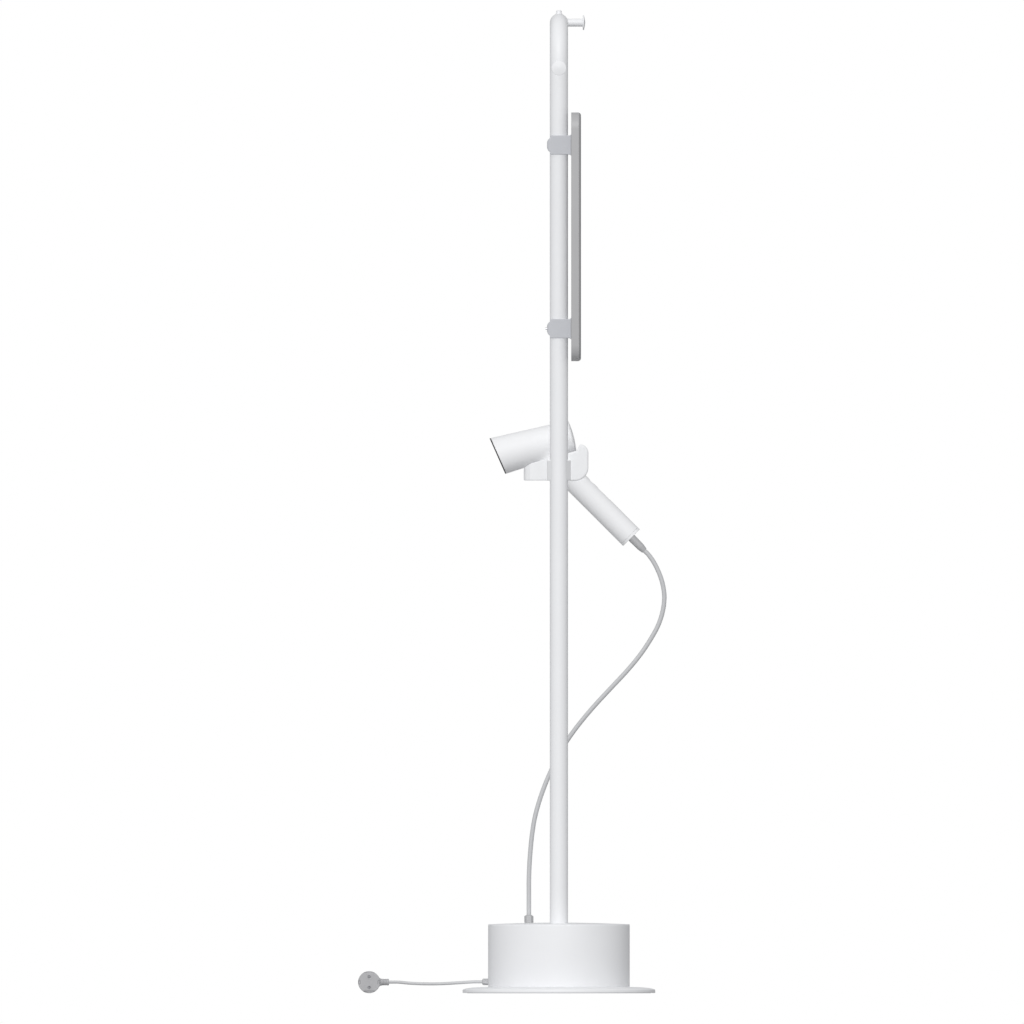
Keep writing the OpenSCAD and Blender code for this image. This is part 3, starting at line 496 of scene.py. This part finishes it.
def skin(field, low, high, step, place=Matrix()):
    """The surface where field(points) is 0, as one even net of faces that lies on it exactly.
    Cells far from the surface, by a coarse first pass, are skipped."""
    axes = [np.arange(a, b + step, step) for a, b in zip(low, high)]
    size = tuple(len(a) for a in axes)
    skip = 4
    coarse_axes = [a[::skip] for a in axes]
    coarse = field(np.stack(np.meshgrid(*coarse_axes, indexing="ij"), -1).reshape(-1, 3))
    coarse = coarse.reshape([len(a) for a in coarse_axes])
    for axis in range(3):
        coarse = np.repeat(coarse, skip, axis)
    value = coarse[:size[0], :size[1], :size[2]].copy()
    near = np.argwhere(np.abs(value) < skip * step * 1.8)
    value[tuple(near.T)] = field(np.array(low) + near * step)
    inside = value < 0
    corners = [(i, j, k) for i in (0, 1) for j in (0, 1) for k in (0, 1)]

    def at_corner(grid, c):
        return grid[c[0]:size[0] - 1 + c[0], c[1]:size[1] - 1 + c[1], c[2]:size[2] - 1 + c[2]]

    count = sum(at_corner(inside, c).astype(int) for c in corners)
    cells = np.argwhere((count > 0) & (count < 8))
    number = np.full([n - 1 for n in size], -1)
    number[tuple(cells.T)] = np.arange(len(cells))
    total, hits = np.zeros((len(cells), 3)), np.zeros(len(cells))
    for a in corners:
        for b in corners:
            if sum(abs(x - y) for x, y in zip(a, b)) == 1 and a < b:
                va, vb = value[tuple((cells + a).T)], value[tuple((cells + b).T)]
                crossed = (va < 0) != (vb < 0)
                t = np.where(crossed, va / np.where(crossed, va - vb, 1), 0)[:, None]
                total += np.where(crossed[:, None], np.array(a) + t * (np.array(b) - a), 0)
                hits += crossed
    points = np.array(low) + (cells + total / hits[:, None]) * step
    faces = []
    for axis in range(3):
        u, v = np.eye(3, dtype=int)[[(axis + 1) % 3, (axis + 2) % 3]]
        ahead = np.roll(inside, -1, axis)
        change = inside != ahead
        change[tuple(slice(-1, None) if i == axis else slice(None) for i in range(3))] = False
        edges = np.argwhere(change)
        edges = edges[(edges @ u > 0) & (edges @ v > 0)
                      & (edges @ u < size[(axis + 1) % 3] - 1) & (edges @ v < size[(axis + 2) % 3] - 1)]
        quads = np.stack([number[tuple((edges - s).T)] for s in (0 * u, u, u + v, v)], 1)
        faces += quads.tolist()
    for _ in range(5):
        here, slope = field(points), np.empty_like(points)
        for axis in range(3):
            nudge = np.eye(3)[axis] * 0.01
            slope[:, axis] = (field(points + nudge) - field(points - nudge)) / 0.02
        move = slope * (here / np.maximum((slope**2).sum(1), 1e-3))[:, None]
        length = np.linalg.norm(move, axis=1)
        points -= move * np.minimum(1, 0.5 * step / np.maximum(length, 1e-9))[:, None]
    return moved((points, faces), place)


# ---------- Pieces ----------

def mesh_object(name, shape):
    mesh = bpy.data.meshes.new(name)
    points, faces = shape
    mesh.from_pydata((np.asarray(points, float) / 1000).tolist(), [], faces)
    thing = bpy.data.objects.new(name, mesh)
    bpy.context.scene.collection.objects.link(thing)
    return thing


def carve(thing, cutter_shape):
    """Takes a closed shape out of an object's mesh."""
    cutter = mesh_object("cutter", cutter_shape)
    tidy(cutter, 180)
    modifier = thing.modifiers.new("cut", "BOOLEAN")
    modifier.object = cutter
    modifier.solver = "EXACT"
    result = bpy.data.meshes.new_from_object(
        thing.evaluated_get(bpy.context.evaluated_depsgraph_get()))
    thing.modifiers.clear()
    thing.data = result
    bpy.data.objects.remove(cutter)


def tidy(thing, sharp):
    """Faces point outwards and shade smoothly, except across edges sharper than an angle."""
    bm = bmesh.new()
    bm.from_mesh(thing.data)
    bmesh.ops.remove_doubles(bm, verts=bm.verts, dist=1e-6)
    bmesh.ops.recalc_face_normals(bm, faces=bm.faces)
    for face in bm.faces:
        face.smooth = True
    for edge in bm.edges:
        edge.smooth = edge.calc_face_angle(0) < math.radians(sharp)
    bm.to_mesh(thing.data)
    bm.free()


def make_piece(node, shape, cuts=(), sharp=38):
    """The finished piece that stands for one CAD node: the finish of the same slot, and a better shape.
    """
    piece = mesh_object(node + "_finished", shape)
    tidy(piece, sharp)
    for cutter in cuts:
        carve(piece, cutter)
    if cuts:
        tidy(piece, sharp)
    piece.data.materials.clear()
    piece.data.materials.append(FINISHES[SLOT_OF[node]])
    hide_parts(node)
    return piece


def fixed_piece(node, shape, **options):
    """A finished piece that rides on its CAD node's body."""
    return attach(make_piece(node, shape, **options), BODY_OF[node])


# ---------- Cords ----------

def make_cords():
    path = smooth_path(DRYER_ROUTE)
    cord = make_piece("dryer_cord", rod(path, DRYER_CORD_D / 2), sharp=60)
    start, end = path[-1] / 1000, path[0] / 1000
    tuple(start)
    tuple(end)
    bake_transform(cord)
    mains_path = smooth_path(MAINS_ROUTE)
    mains = fixed_piece("mains_lead", rod(mains_path, MAINS_D / 2, 16), sharp=60)
    return (cord, path), (mains, mains_path)


def declare_cord(piece, path, diameter, with_pieces):
    length = np.linalg.norm(np.diff(path, axis=0), axis=1).sum() / 1000
    [tuple(p) for p in path / 1000]


# ---------- Base and drum ----------

def lid_height(r):
    return DRUM_TOP + LID_EDGE + (LID_TOP - DRUM_TOP - LID_EDGE) * (1 - (r / DRUM_R) ** 2)


def around(radius, start, count, z=0.0):
    """Places evenly round the Z axis."""
    return [Matrix.Translation((radius * math.cos(a), radius * math.sin(a), z))
            for a in math.radians(start) + np.arange(count) * 2 * math.pi / count]


def make_base_plate():
    dome = [(DRUM_R + (BASE_R - DRUM_R) * math.cos(a),
             BASE_RIM_Z + (BASE_TOP - BASE_RIM_Z) * math.sin(a))
            for a in np.linspace(0, math.pi / 2, 13)]
    pad_out, pad_in = PAD_OUT_R + 0.1, PAD_IN_R - 0.1
    lip = 0.35  # a thin turned-down lip hides the pad from the side
    outline = rounded([(0, BASE_BOTTOM), (pad_in, BASE_BOTTOM), (pad_in, PAD_TOP + FIT),
                       (pad_out, PAD_TOP + FIT), (pad_out, BASE_BOTTOM), (pad_out + 2, lip, 0.3),
                       (BASE_R, lip, 1.0), *dome, (0, BASE_TOP)])
    hole_r, sink_r, over = BASE_BOLT_R + FIT, BASE_BOLT_HEAD_R + FIT, BASE_TOP + 5
    sink = lathe([(0, 1), (sink_r, 1), (sink_r, BASE_BOTTOM), (hole_r, BASE_BOTTOM + 4),
                  (hole_r, over), (0, over)], 32)
    fixed_piece("base_plate", lathe(outline, 160),
                cuts=[moved(sink, at) for at in around(BASE_BOLTS_R, 45, 4)])


def make_drum():
    """The drum's wall, with a flange inside at its foot and a hole for the mains gland."""
    inner, flange_in = DRUM_R - DRUM_WALL, DRUM_R - DRUM_FLANGE_W
    flange_top = BASE_TOP + DRUM_WALL
    outline = rounded([(DRUM_R, BASE_TOP, 0.4), (DRUM_R, DRUM_TOP, 0.7), (inner, DRUM_TOP, 0.7),
                       (inner, flange_top), (flange_in, flange_top), (flange_in, BASE_TOP)])
    hole_r = MAINS_STEM_R + 0.1
    hole = moved(lathe([(0, -10), (hole_r, -10), (hole_r, 10), (0, 10)], 32),
                 Matrix.Translation((-DRUM_R, 0, MAINS_Z)) @ Matrix.Rotation(math.pi / 2, 4, "Y"))
    fixed_piece("drum_shell", lathe(outline, 160), cuts=[hole])


def make_lid():
    """A domed lid on a fine reveal, let into the drum, with holes for the legs and the gland."""
    top = [(r, lid_height(r)) for r in np.linspace(DRUM_R - 3, 0, 14)]
    reveal = DRUM_TOP + 0.5
    outline = rounded([(0, DRUM_TOP), (DRUM_R - 4, DRUM_TOP), (DRUM_R - 4, DRUM_TOP - 8),
                       (DRUM_R - 2.3, DRUM_TOP - 8), (DRUM_R - 2.3, DRUM_TOP),
                       (DRUM_R - 0.8, DRUM_TOP), (DRUM_R - 0.8, reveal), (DRUM_R, reveal, 0.2),
                       (DRUM_R, lid_height(DRUM_R), 0.7), *top])
    under, over, rim = 100.0, 130.0, lid_height(LEG_Y)
    leg_hole = lathe([(0, under), (TUBE_R + 0.3, under), (TUBE_R + 0.3, rim - 0.9),
                      (TUBE_R + 0.6, rim - 0.3), (TUBE_R + 1.4, rim + 0.3), (TUBE_R + 1.4, over),
                      (0, over)], 72)
    gland_r, hole_r, sink_r = GLAND_STEM_R + FIT, LID_SCREW_R + FIT, LID_SCREW_HEAD_R + FIT
    gland_hole = lathe([(0, under), (gland_r, under), (gland_r, over), (0, over)], 40)
    sink = lathe([(0, under), (hole_r, under), (hole_r, DRUM_TOP), (sink_r, DRUM_TOP + 2),
                  (sink_r, over), (0, over)], 32)
    fixed_piece("drum_lid", lathe(outline, 160), cuts=[
        shifted(leg_hole, y=-LEG_Y), shifted(leg_hole, y=LEG_Y), shifted(gland_hole, x=GLAND_X),
        *[moved(sink, at) for at in around(LID_SCREWS_R, 0, 3)]])


def make_lid_screws():
    r, head_r, length = LID_SCREW_R, LID_SCREW_HEAD_R, 13.0
    screw = lathe(rounded([(0, -length), (r, -length, 0.3), (r, -2), (head_r, -0.1),
                           (head_r - 0.1, 0), (0, 0)]), 32)
    places = around(LID_SCREWS_R, 0, 3, DRUM_TOP + 2)
    fixed_piece("lid_screws", join(*[moved(screw, at) for at in places]),
                cuts=[moved(hexagon_prism(1.45, -1.5, 1), at) for at in places])


def gland_field(hex_r, height, bore):
    """A hexagonal gland with a chamfered nose, about +Z from z = 0."""
    def field(p):
        x, y, z = p.T
        flats = np.maximum(np.abs(y), math.cos(math.pi / 6) * np.abs(x) + 0.5 * np.abs(y))
        body = both(flats - hex_r * math.cos(math.pi / 6), between(z, 0, height), 0.35)
        r = np.hypot(x, y)
        nose = 0.6 * (r - hex_r * 0.93) + 0.8 * (z - height + 1.9)
        body = both(body, nose, 0.3)
        return less(body, r - bore, 0.3)
    return field


def make_gland(node, hex_r, height, bore, stem_r, stem_len, place):
    """A gland's head about +Z, with its threaded stem below it."""
    body = skin(gland_field(hex_r, height, bore), (-hex_r - 1, -hex_r - 1, -1),
                (hex_r + 1, hex_r + 1, height + 1), 0.4, place)
    half_pitch, thread_depth = 0.6, 0.45
    threads = [(stem_r - thread_depth * (k % 2), -0.4 - half_pitch * k)
               for k in range(int(stem_len / half_pitch))]
    stem = lathe([(bore, 0.2), (stem_r, 0.2), *threads, (stem_r - 0.4, -stem_len), (bore, -stem_len)],
                 40, place)
    fixed_piece(node, join(body, stem), sharp=50)


def make_glands():
    floor_z = lid_height(-GLAND_X - GLAND_HEX_R) + FIT
    make_gland("cord_gland", GLAND_HEX_R, GLAND_TOP - floor_z, DRYER_CORD_D / 2 + FIT,
               GLAND_STEM_R, 12.0, Matrix.Translation((GLAND_X, 0, floor_z)))
    make_gland("mains_gland", MAINS_HEX_R, -MAINS_GLAND_TIP - DRUM_R, MAINS_D / 2 + FIT,
               MAINS_STEM_R, 8.0,
               Matrix.Translation((-DRUM_R, 0, MAINS_Z)) @ Matrix.Rotation(-math.pi / 2, 4, "Y"))


# ---------- Frame ----------

def make_frame_tube():
    arch = [(0, -LEG_Y * math.cos(a), SPRING_Z + LEG_Y * math.sin(a))
            for a in np.linspace(0, math.pi, 73)]
    path = [(0, -LEG_Y, LEG_FOOT), (0, -LEG_Y, 800), (0, -LEG_Y, SPRING_Z - 2), *arch,
            (0, LEG_Y, SPRING_Z - 2), (0, LEG_Y, 800), (0, LEG_Y, LEG_FOOT)]
    fixed_piece("frame_tube", pipe(path, TUBE_R, TUBE_R - TUBE_WALL))


def flare(radius, foot, height, grow):
    """Turned outline of a weld fillet that narrows from the tube's surface up to a stem."""
    return [(radius + grow * (1 - math.sin(a)), foot + height * (1 - math.cos(a)))
            for a in np.linspace(0, math.pi / 2, 7)]


def make_pegs():
    """A plain stem with a flat head that is a little domed, welded to the tube."""
    quarter, stem_r, head_r, weld = math.pi / 2, 7.0, 13.0, 2.2
    head = [(stem_r, PEG_TIP - 5.2), (stem_r + 0.4, PEG_TIP - 4.5), (head_r - 0.4, PEG_TIP - 4.3),
            (head_r, PEG_TIP - 3.9), (head_r, PEG_TIP - 2.6), (head_r - 0.3, PEG_TIP - 2.1),
            (8, PEG_TIP - 1.1), (3, PEG_TIP - 0.3), (0, PEG_TIP)]
    foot = [(0, TUBE_R - 5), (stem_r + weld, TUBE_R - 5)]
    outline = foot + flare(stem_r, TUBE_R - 3, 5.2, weld) + head
    peg = lathe(outline, 64)
    fixed_piece("front_peg", moved(peg, Matrix.Translation((0, 0, CROWN_Z))
                                   @ Matrix.Rotation(quarter, 4, "Y")))
    for node, side in (("side_peg_left", -1), ("side_peg_right", 1)):
        fixed_piece(node, moved(peg, Matrix.Translation((0, side * LEG_Y, SIDE_PEG_Z))
                                @ Matrix.Rotation(-side * quarter, 4, "X")))


def make_crown_button():
    top, radius, weld = span("crown_button")[1][2] - CROWN_Z, 5.0, 5.2
    outline = [(0, TUBE_R - 5), (radius + weld, TUBE_R - 5)]
    outline += flare(radius, TUBE_R - 3.8, 7.0, weld)
    outline += [(radius, top - 1.6), (4.7, top - 0.8), (3.8, top - 0.2), (2.5, top), (0, top)]
    fixed_piece("crown_button", lathe(outline, 64, Matrix.Translation((0, 0, CROWN_Z))))


# ---------- Mirror ----------

def mirror_loop(x, inset):
    size = TRAY_HIGH - TRAY_LOW - 2 * inset
    return rounded_loop(size[1], size[2], MIRROR_CORNER_R - inset, x, MIRROR_MID_Z)


def make_mirror():
    """A pressed tray with a square back and a front edge whose rounding runs on into the glass."""
    round_r = 5.4
    back, front = TRAY_LOW[0], TRAY_HIGH[0]

    def front_inset(x):
        depth = max(0.0, round_r - (GLASS_FRONT - x))
        return round_r - math.sqrt(round_r**2 - depth**2)
    tray = [mirror_loop(back, 0.5), mirror_loop(back + 0.5, 0)]
    tray += [mirror_loop(x, front_inset(x)) for x in np.linspace(front - 2, front - 0.1, 4)]
    tray += [mirror_loop(front - 0.1, TRAY_WALL), mirror_loop(back + TRAY_WALL, TRAY_WALL)]
    fixed_piece("mirror_tray", loft(tray))
    edge = [mirror_loop(x, front_inset(x)) for x in
            GLASS_FRONT - (GLASS_FRONT - front) * (1 - np.sin(np.linspace(0, math.pi / 2, 9)))]
    glass = fixed_piece("mirror_glass", loft(edge))
    glass.data.materials.append(GLASS_EDGE)
    for face in glass.data.polygons:
        face.material_index = 0 if face.normal.x > 0.9 and len(face.vertices) > 4 else 1


def clip_profile():
    """Side outline of a clip in x and z: a flared root on the mirror and a tapered nose."""
    half, sweep, root = 17.0, 3.8, TRAY_LOW[0]
    quarter = np.linspace(0, math.pi / 2, 7)
    up = [(root - sweep + sweep * math.sin(a), half + sweep - sweep * math.cos(a)) for a in quarter]
    nose = [(-TUBE_R + 1.5, half), (-TUBE_R, half - 1.5), (-TUBE_R, 12.5), (-19, 9.6), (-CLIP_NOSE, 5)]
    below = [(x, -z) for x, z in up[::-1] + nose]
    return up + below + nose[::-1]


def make_clips():
    """Four clips that slide on the legs. The lower ones have a bore at the back for a lock screw."""
    profile = clip_profile()

    def field(p, lock):
        x, y, z = p.T
        plan = both(-CLIP_NOSE - x, np.abs(y) - CLIP_HALF_W, CLIP_CORNER_R)
        body = both(in_outline(profile, x, z), plan, 1.1)
        body = less(body, np.hypot(x, y) - TUBE_R - FIT, 0.5)
        if lock:
            body = less(body, np.maximum(np.hypot(y, z) - LOCK_SCREW_R - FIT, x), 0.3)
        return body
    for level, z in CLIP_Z.items():
        shape = skin(lambda p: field(p, level == "lower"), (-23, -21, -21), (24, 21, 21), 0.75)
        for name, side in (("left", -1), ("right", 1)):
            fixed_piece(f"clip_{level}_{name}", shifted(shape, y=side * LEG_Y, z=z), sharp=50)


def make_lock_screws():
    tip, inner = span("clip_lock_screws")[0][0], -TUBE_R - 0.1
    screw = lathe(rounded([(0, inner), (LOCK_SCREW_R, inner), (LOCK_SCREW_R, tip, 0.5), (0, tip)]),
                  32, Matrix.Rotation(math.pi / 2, 4, "Y"))
    places = [Matrix.Translation((0, side * LEG_Y, CLIP_Z["lower"])) for side in (-1, 1)]
    slot = moved(hexagon_prism(1.0, tip - 1, tip + 1.6), Matrix.Rotation(math.pi / 2, 4, "Y"))
    fixed_piece("clip_lock_screws", join(*[moved(screw, at) for at in places]),
                cuts=[moved(slot, at) for at in places])


# ---------- Cradle ----------

def head_radius(along):
    share = (along - HEAD_FRONT) / HEAD_LEN
    return OUTLET_R + (INTAKE_R - OUTLET_R) * share


def head_field(p):
    """Distance to the side of the dryer's head, and the place along it."""
    x, y, along = seen_from(HEAD, p)
    return np.hypot(x, y) - head_radius(np.clip(along, HEAD_FRONT - 15, 75)), along


def cheek_outline():
    """Side outline of the fork's cheeks in x and z, with a raised lip at the back."""
    right, low, lip, floor_z = CRADLE_HIGH[0], CRADLE_LOW[2], CRADLE_HIGH[2], 949.0
    front_x = -20.0
    corners = [(front_x, low), (18, low), (22, low - 1, 3), (right, low - 1, 24), (right, lip, 15),
               (37.4, lip, 1.0), (31.8, floor_z + 8.6, 3), (0, floor_z), (front_x, floor_z - 5.5)]
    return rounded(corners, 8)


def make_cradle():
    """A collar round both legs, a tongue and wedge under the dryer's head, and a fork's two cheeks."""
    low, tongue_x = CRADLE_LOW[2], CRADLE_LOW[0]
    wedge_front, wedge_back = tongue_x + TONGUE_CORNER_R, -18.0
    tongue_mid_x, grub_bore_r = -26.0, 3.2
    outline = cheek_outline()
    wedge = [(wedge_front, -TONGUE_HALF_W), (wedge_back, -CHEEK_OUT),
             (wedge_back, CHEEK_OUT), (wedge_front, TONGUE_HALF_W)]

    def field(p):
        x, y, z = p.T
        wide = np.abs(y)
        stadium = np.hypot(x, np.maximum(wide - LEG_Y, 0)) - COLLAR_R
        collar = both(stadium, between(z, low, low + COLLAR_H), 1.4)
        taper = 0.83 * (np.abs(x) - COLLAR_R) + 0.56 * (wide - LEG_Y - 1)
        collar = both(collar, taper, 0.8)
        plan_x = np.abs(x - tongue_mid_x) - (tongue_mid_x - tongue_x) + TONGUE_CORNER_R
        plan_y = wide - TONGUE_HALF_W + TONGUE_CORNER_R
        plan = (np.hypot(np.maximum(plan_x, 0), np.maximum(plan_y, 0))
                + np.minimum(np.maximum(plan_x, plan_y), 0) - TONGUE_CORNER_R)
        under_head = FORK_DROP - seen_from(HEAD, p)[0]
        plan = either(plan, in_outline(wedge, x, y), 6.0)
        tongue = both(both(plan, between(z, low, low + 60), 1.2), under_head, 0.8)
        cheeks = both(in_outline(outline, x, z), wide - CHEEK_OUT, 3.0)
        cheeks = both(cheeks, CHEEK_IN - wide, 0.8)
        solid = either(collar, either(tongue, cheeks), 1.0)
        side, along = head_field(p)
        solid = less(solid, np.maximum(side - REST_GAP, along - 68), 1.1)
        hx, hy, hz = seen_from(HANDLE, p)
        channel = np.maximum(np.hypot(np.maximum(hx, 0), hy) - CHEEK_IN, -hz)
        solid = less(solid, channel, 0.9)
        solid = less(solid, np.hypot(x, wide - LEG_Y) - TUBE_R - FIT, 0.6)
        bore = np.maximum(np.hypot(x + 8, z - low - 12) - grub_bore_r, between(wide, 15, 60))
        return less(solid, bore, 0.4)
    fixed_piece("cradle", skin(field, CRADLE_LOW - 2, CRADLE_HIGH + 2, 1.0), sharp=60)


# ---------- Dryer ----------

def dryer_field(p):
    """Distance to the dryer's closed outside, without the outlet ring and the intake cap."""
    side, along = head_field(p)
    slant = seen_from(OUTLET, p)[2]
    head = both(both(side, 2.0 - slant, 0.3), along - INTAKE_BASE, 0.5)
    hx, hy, hz = seen_from(HANDLE, p)
    handle = both(np.hypot(hx, hy) - HANDLE_R, between(hz, 0, HANDLE_LEN - END_CAP), 0.3)
    return either(head, handle, 7.0)


def dryer_wall(p):
    """Distance to the casing's wall, which is hollow and open at the outlet and the intake."""
    side = head_field(p)[0] + SHELL_T
    hx, hy, hz = seen_from(HANDLE, p)
    handle = np.maximum(np.hypot(hx, hy) - HANDLE_R + SHELL_T, -hz)
    return less(dryer_field(p), either(side, handle, 5.0))


def make_dryer_shells():
    """Two halves that meet at a fine parting line, with openings for the switch, button and screws."""
    def field(p, side):
        x, y, z = seen_from(HANDLE, p)
        wall = dryer_wall(p)
        slot = both(both(between(y, -4.2, 4.2), between(z, SLIDER_AT - 14, SLIDER_AT + 14), 1.5), x)
        wall = less(wall, slot, 0.4)
        wall = less(wall, np.maximum(np.hypot(y, z - BUTTON_AT) - 5.7, x), 0.4)
        for hx, hz in SHELL_SCREWS if side > 0 else ():
            r = np.hypot(x - hx, z - hz)
            sleeve = both(both(r - 4.4, 11 - y, 0.3), np.hypot(x, y) - HANDLE_R + 0.6)
            wall = less(either(wall, sleeve, 0.5), np.maximum(r - 3.1, 12 - y), 0.4)
        return both(wall, 0.1 - side * y, 0.2)
    for name, side in (("left", -1), ("right", 1)):
        low, high = sorted((0.1 * side - 1.8 * side, 35.1 * side))
        shape = skin(lambda p: field(p, side), (-126, low, 780), (144, high, 1018), 1.2)
        fixed_piece(f"dryer_shell_{name}", shape, sharp=50)


def make_outlet():
    def field(p):
        x, y, z = p.T
        world = p @ np.array(OUTLET)[:3, :3].T + np.array(OUTLET)[:3, 3]
        r = np.hypot(x, y)
        rim = both(head_field(world)[0], between(z, 0, 1.95), 0.45)
        sleeve = both(r - 29, between(z, 0.2, 7), 0.4)
        return less(either(rim, sleeve), r - 28.2, 0.5)
    ring = skin(field, (-36, -36, -1), (36, 36, 8), 0.6, OUTLET)
    fixed_piece("outlet_ring", ring, sharp=60)
    rings = [lathe(rounded([(r - 1.2, 5, 0.3), (r, 5, 0.3), (r, 7, 0.3), (r - 1.2, 7, 0.3)], 2), 72)
             for r in (28, 21, 14, 7)]
    bars = [moved(slab(54.6, 1.1, 1.9, 0.25),
                  Matrix.Rotation(math.radians(a), 4, "Z") @ Matrix.Translation((0, 0, 5.05)))
            for a in (0, 60, 120)]
    fixed_piece("outlet_grille", moved(join(*rings, *bars), OUTLET))


def make_intake():
    holes = [(6.4 * k * math.cos(a), 6.4 * k * math.sin(a)) for k in (1, 2, 3)
             for a in np.arange(6 * k) * math.pi / (3 * k)] + [(0.0, 0.0)]
    radius = INTAKE_R

    def field(p):
        x, y, z = p.T
        r = np.hypot(x, y)
        dome = z - (3.55 - 2.4 * (r / radius) ** 2)
        cap = both(both(r - radius, dome, 1.0), -z, 0.25)
        collar = both(np.abs(r - 24.4) - 0.8, between(z, -5, 0.5), 0.3)
        nearest = np.min([np.hypot(x - hx, y - hy) for hx, hy in holes], 0)
        return less(either(cap, collar), nearest - 1.7, 0.5)
    place = HEAD @ Matrix.Translation((0, 0, INTAKE_BASE + 0.1))
    fixed_piece("intake_grille", skin(field, (-30, -30, -6), (30, 30, 5), 0.55, place), sharp=60)


def make_handle_parts():
    cap_start = HANDLE_LEN - END_CAP + 0.1
    fixed_piece("handle_end_cap", lathe(rounded(
        [(5.55, HANDLE_LEN - 12), (HANDLE_R - 2.4, HANDLE_LEN - 12), (HANDLE_R - 2.4, cap_start),
         (HANDLE_R, cap_start, 0.1), (HANDLE_R, HANDLE_LEN, 0.6), (5.55, HANDLE_LEN, 0.5)]), 96, HANDLE))
    bore = DRYER_CORD_D / 2 + FIT
    fixed_piece("strain_relief", lathe(rounded(
        [(bore, HANDLE_LEN - 18), (7.5, HANDLE_LEN - 18), (7.5, HANDLE_LEN - 14),
         (5.5, HANDLE_LEN - 14), (5.5, HANDLE_LEN + 0.1), (RELIEF_R, HANDLE_LEN + 0.1, 0.5),
         (RELIEF_R - 0.5, RELIEF_END - 9, 3), (5.2, RELIEF_END, 0.5), (bore, RELIEF_END)]), 64, HANDLE))

    def slider(p):
        x, y, z = p.T
        grip = 0.28 * np.cos((z - SLIDER_AT) * math.pi) * (np.abs(z - SLIDER_AT - 4) < 6)
        top = np.hypot(x, y) - (HANDLE_R - 0.5 + grip)
        cap = both(both(both(between(y, -4, 4), between(z, SLIDER_AT - 4, SLIDER_AT + 12), 1.2),
                        top, 0.4), x + 16.5)
        flange = both(both(between(y, -6, 6), between(z, SLIDER_AT - 8, SLIDER_AT + 16), 1.0),
                      between(x, -17.1, -15.5), 0.2)
        return either(cap, flange)
    fixed_piece("switch_slider", skin(slider, (-22, -7, SLIDER_AT - 9), (-15, 7, SLIDER_AT + 17),
                                      0.35, HANDLE), sharp=50)
    turned = HANDLE @ Matrix.Translation((0, 0, BUTTON_AT)) @ Matrix.Rotation(-math.pi / 2, 4, "Y")
    fixed_piece("cool_button", lathe(rounded(
        [(0, 15.2), (6.8, 15.2, 0.2), (6.8, 16.8, 0.2), (5.5, 16.8), (5.5, HANDLE_R - 0.9, 0.6),
         (4.2, HANDLE_R - 0.9, 0.4), (0, HANDLE_R - 1.5)]), 48, turned))


# ---------- Plug ----------

def make_plug():
    """An angled plug: a round body with a sloping back, a ribbed neck and two earth strips."""
    strip_from = 14.0

    def field(p):
        x, y, z = p.T
        body = both(np.hypot(x, y) - PLUG_R, between(z, PLUG_BACK, PLUG_FACE), 0.9)
        slope = -(x + PLUG_R + z - 8.7) * math.sqrt(0.5)
        body = both(body, slope, 1.4)
        neck_r = np.hypot(y, z)
        neck = both(neck_r - 6.6 + 0.025 * x, x - PLUG_NECK, 1.2)
        ribs = [both(between(x, at - 0.6, at + 0.6), 5.2 - neck_r) for at in (24.5, 27.3, 30.1)]
        neck = less(np.maximum(neck, -x), np.min(ribs, 0), 0.3)
        body = either(body, neck, 3.0)
        scallop = np.hypot(z - PLUG_FACE, x) - 10
        scallop = both(scallop, PLUG_R - 4 - np.abs(y))
        body = less(body, scallop, 0.6)
        grip = np.min([np.hypot(np.abs(y) - PLUG_R - 0.7, z - at) - 1.6 for at in (9, 13.5, 18)], 0)
        body = less(body, both(grip, np.abs(x) - 9, 0.5), 0.5)
        strip = both(both(between(np.abs(x), 15.5, 18.5), np.abs(y) - 3.5), strip_from - z)
        body = less(body, strip, 0.3)
        pin = np.hypot(x, np.abs(y) - PIN_PITCH / 2)
        return less(body, np.maximum(pin - PIN_R - FIT, PLUG_FACE - 12 - z))
    fixed_piece("plug_body", skin(field, (-21, -21, -9), (37, 21, 36), 0.65, PLUG), sharp=55)
    pin = lathe(rounded([(0, -12), (1.9, -12), (1.9, 0.05), (PIN_R, 0.05), (PIN_R, PIN_LEN - 1.2, 0.6),
                         (1.1, PIN_LEN, 0.5), (0, PIN_LEN)]), 40)
    pins = [shifted(pin, y=s * PIN_PITCH / 2, z=PLUG_FACE) for s in (-1, 1)]
    fixed_piece("plug_pins", moved(join(*pins), PLUG))
    strip = moved(slab(6, 1, 20, 0.2), Matrix.Rotation(math.pi / 2, 4, "Z"))
    strips = [shifted(strip, x=s * (PLUG_R - 2.5), z=strip_from + FIT) for s in (-1, 1)]
    fixed_piece("plug_earth_strips", moved(join(*strips), PLUG))


def make_floor():
    half = 20000
    floor = mesh_object("floor", ([(-half, -half, 0), (half, -half, 0), (half, half, 0),
                                   (-half, half, 0)], [[0, 1, 2, 3]]))
    floor.data.materials.append(FLOOR_FINISH)
    floor.visible_diffuse = False


def piece_for(node):
    return bpy.data.objects[node + "_finished"]


set_camera()
(dryer_cord, dryer_path), (mains_lead, mains_path) = make_cords()
set_light()
dress_cad_nodes()
make_base_plate()
make_drum()
make_lid()
make_lid_screws()
make_glands()
make_frame_tube()
make_pegs()
make_crown_button()
make_mirror()
make_clips()
make_lock_screws()
make_cradle()
make_dryer_shells()
make_outlet()
make_intake()
make_handle_parts()
make_plug()
make_floor()
declare_cord(dryer_cord, dryer_path, DRYER_CORD_D,
             [piece_for("strain_relief"), piece_for("cord_gland")])
declare_cord(mains_lead, mains_path, MAINS_D,
             [piece_for(n) for n in ("mains_gland", "plug_body", "plug_pins", "plug_earth_strips")])
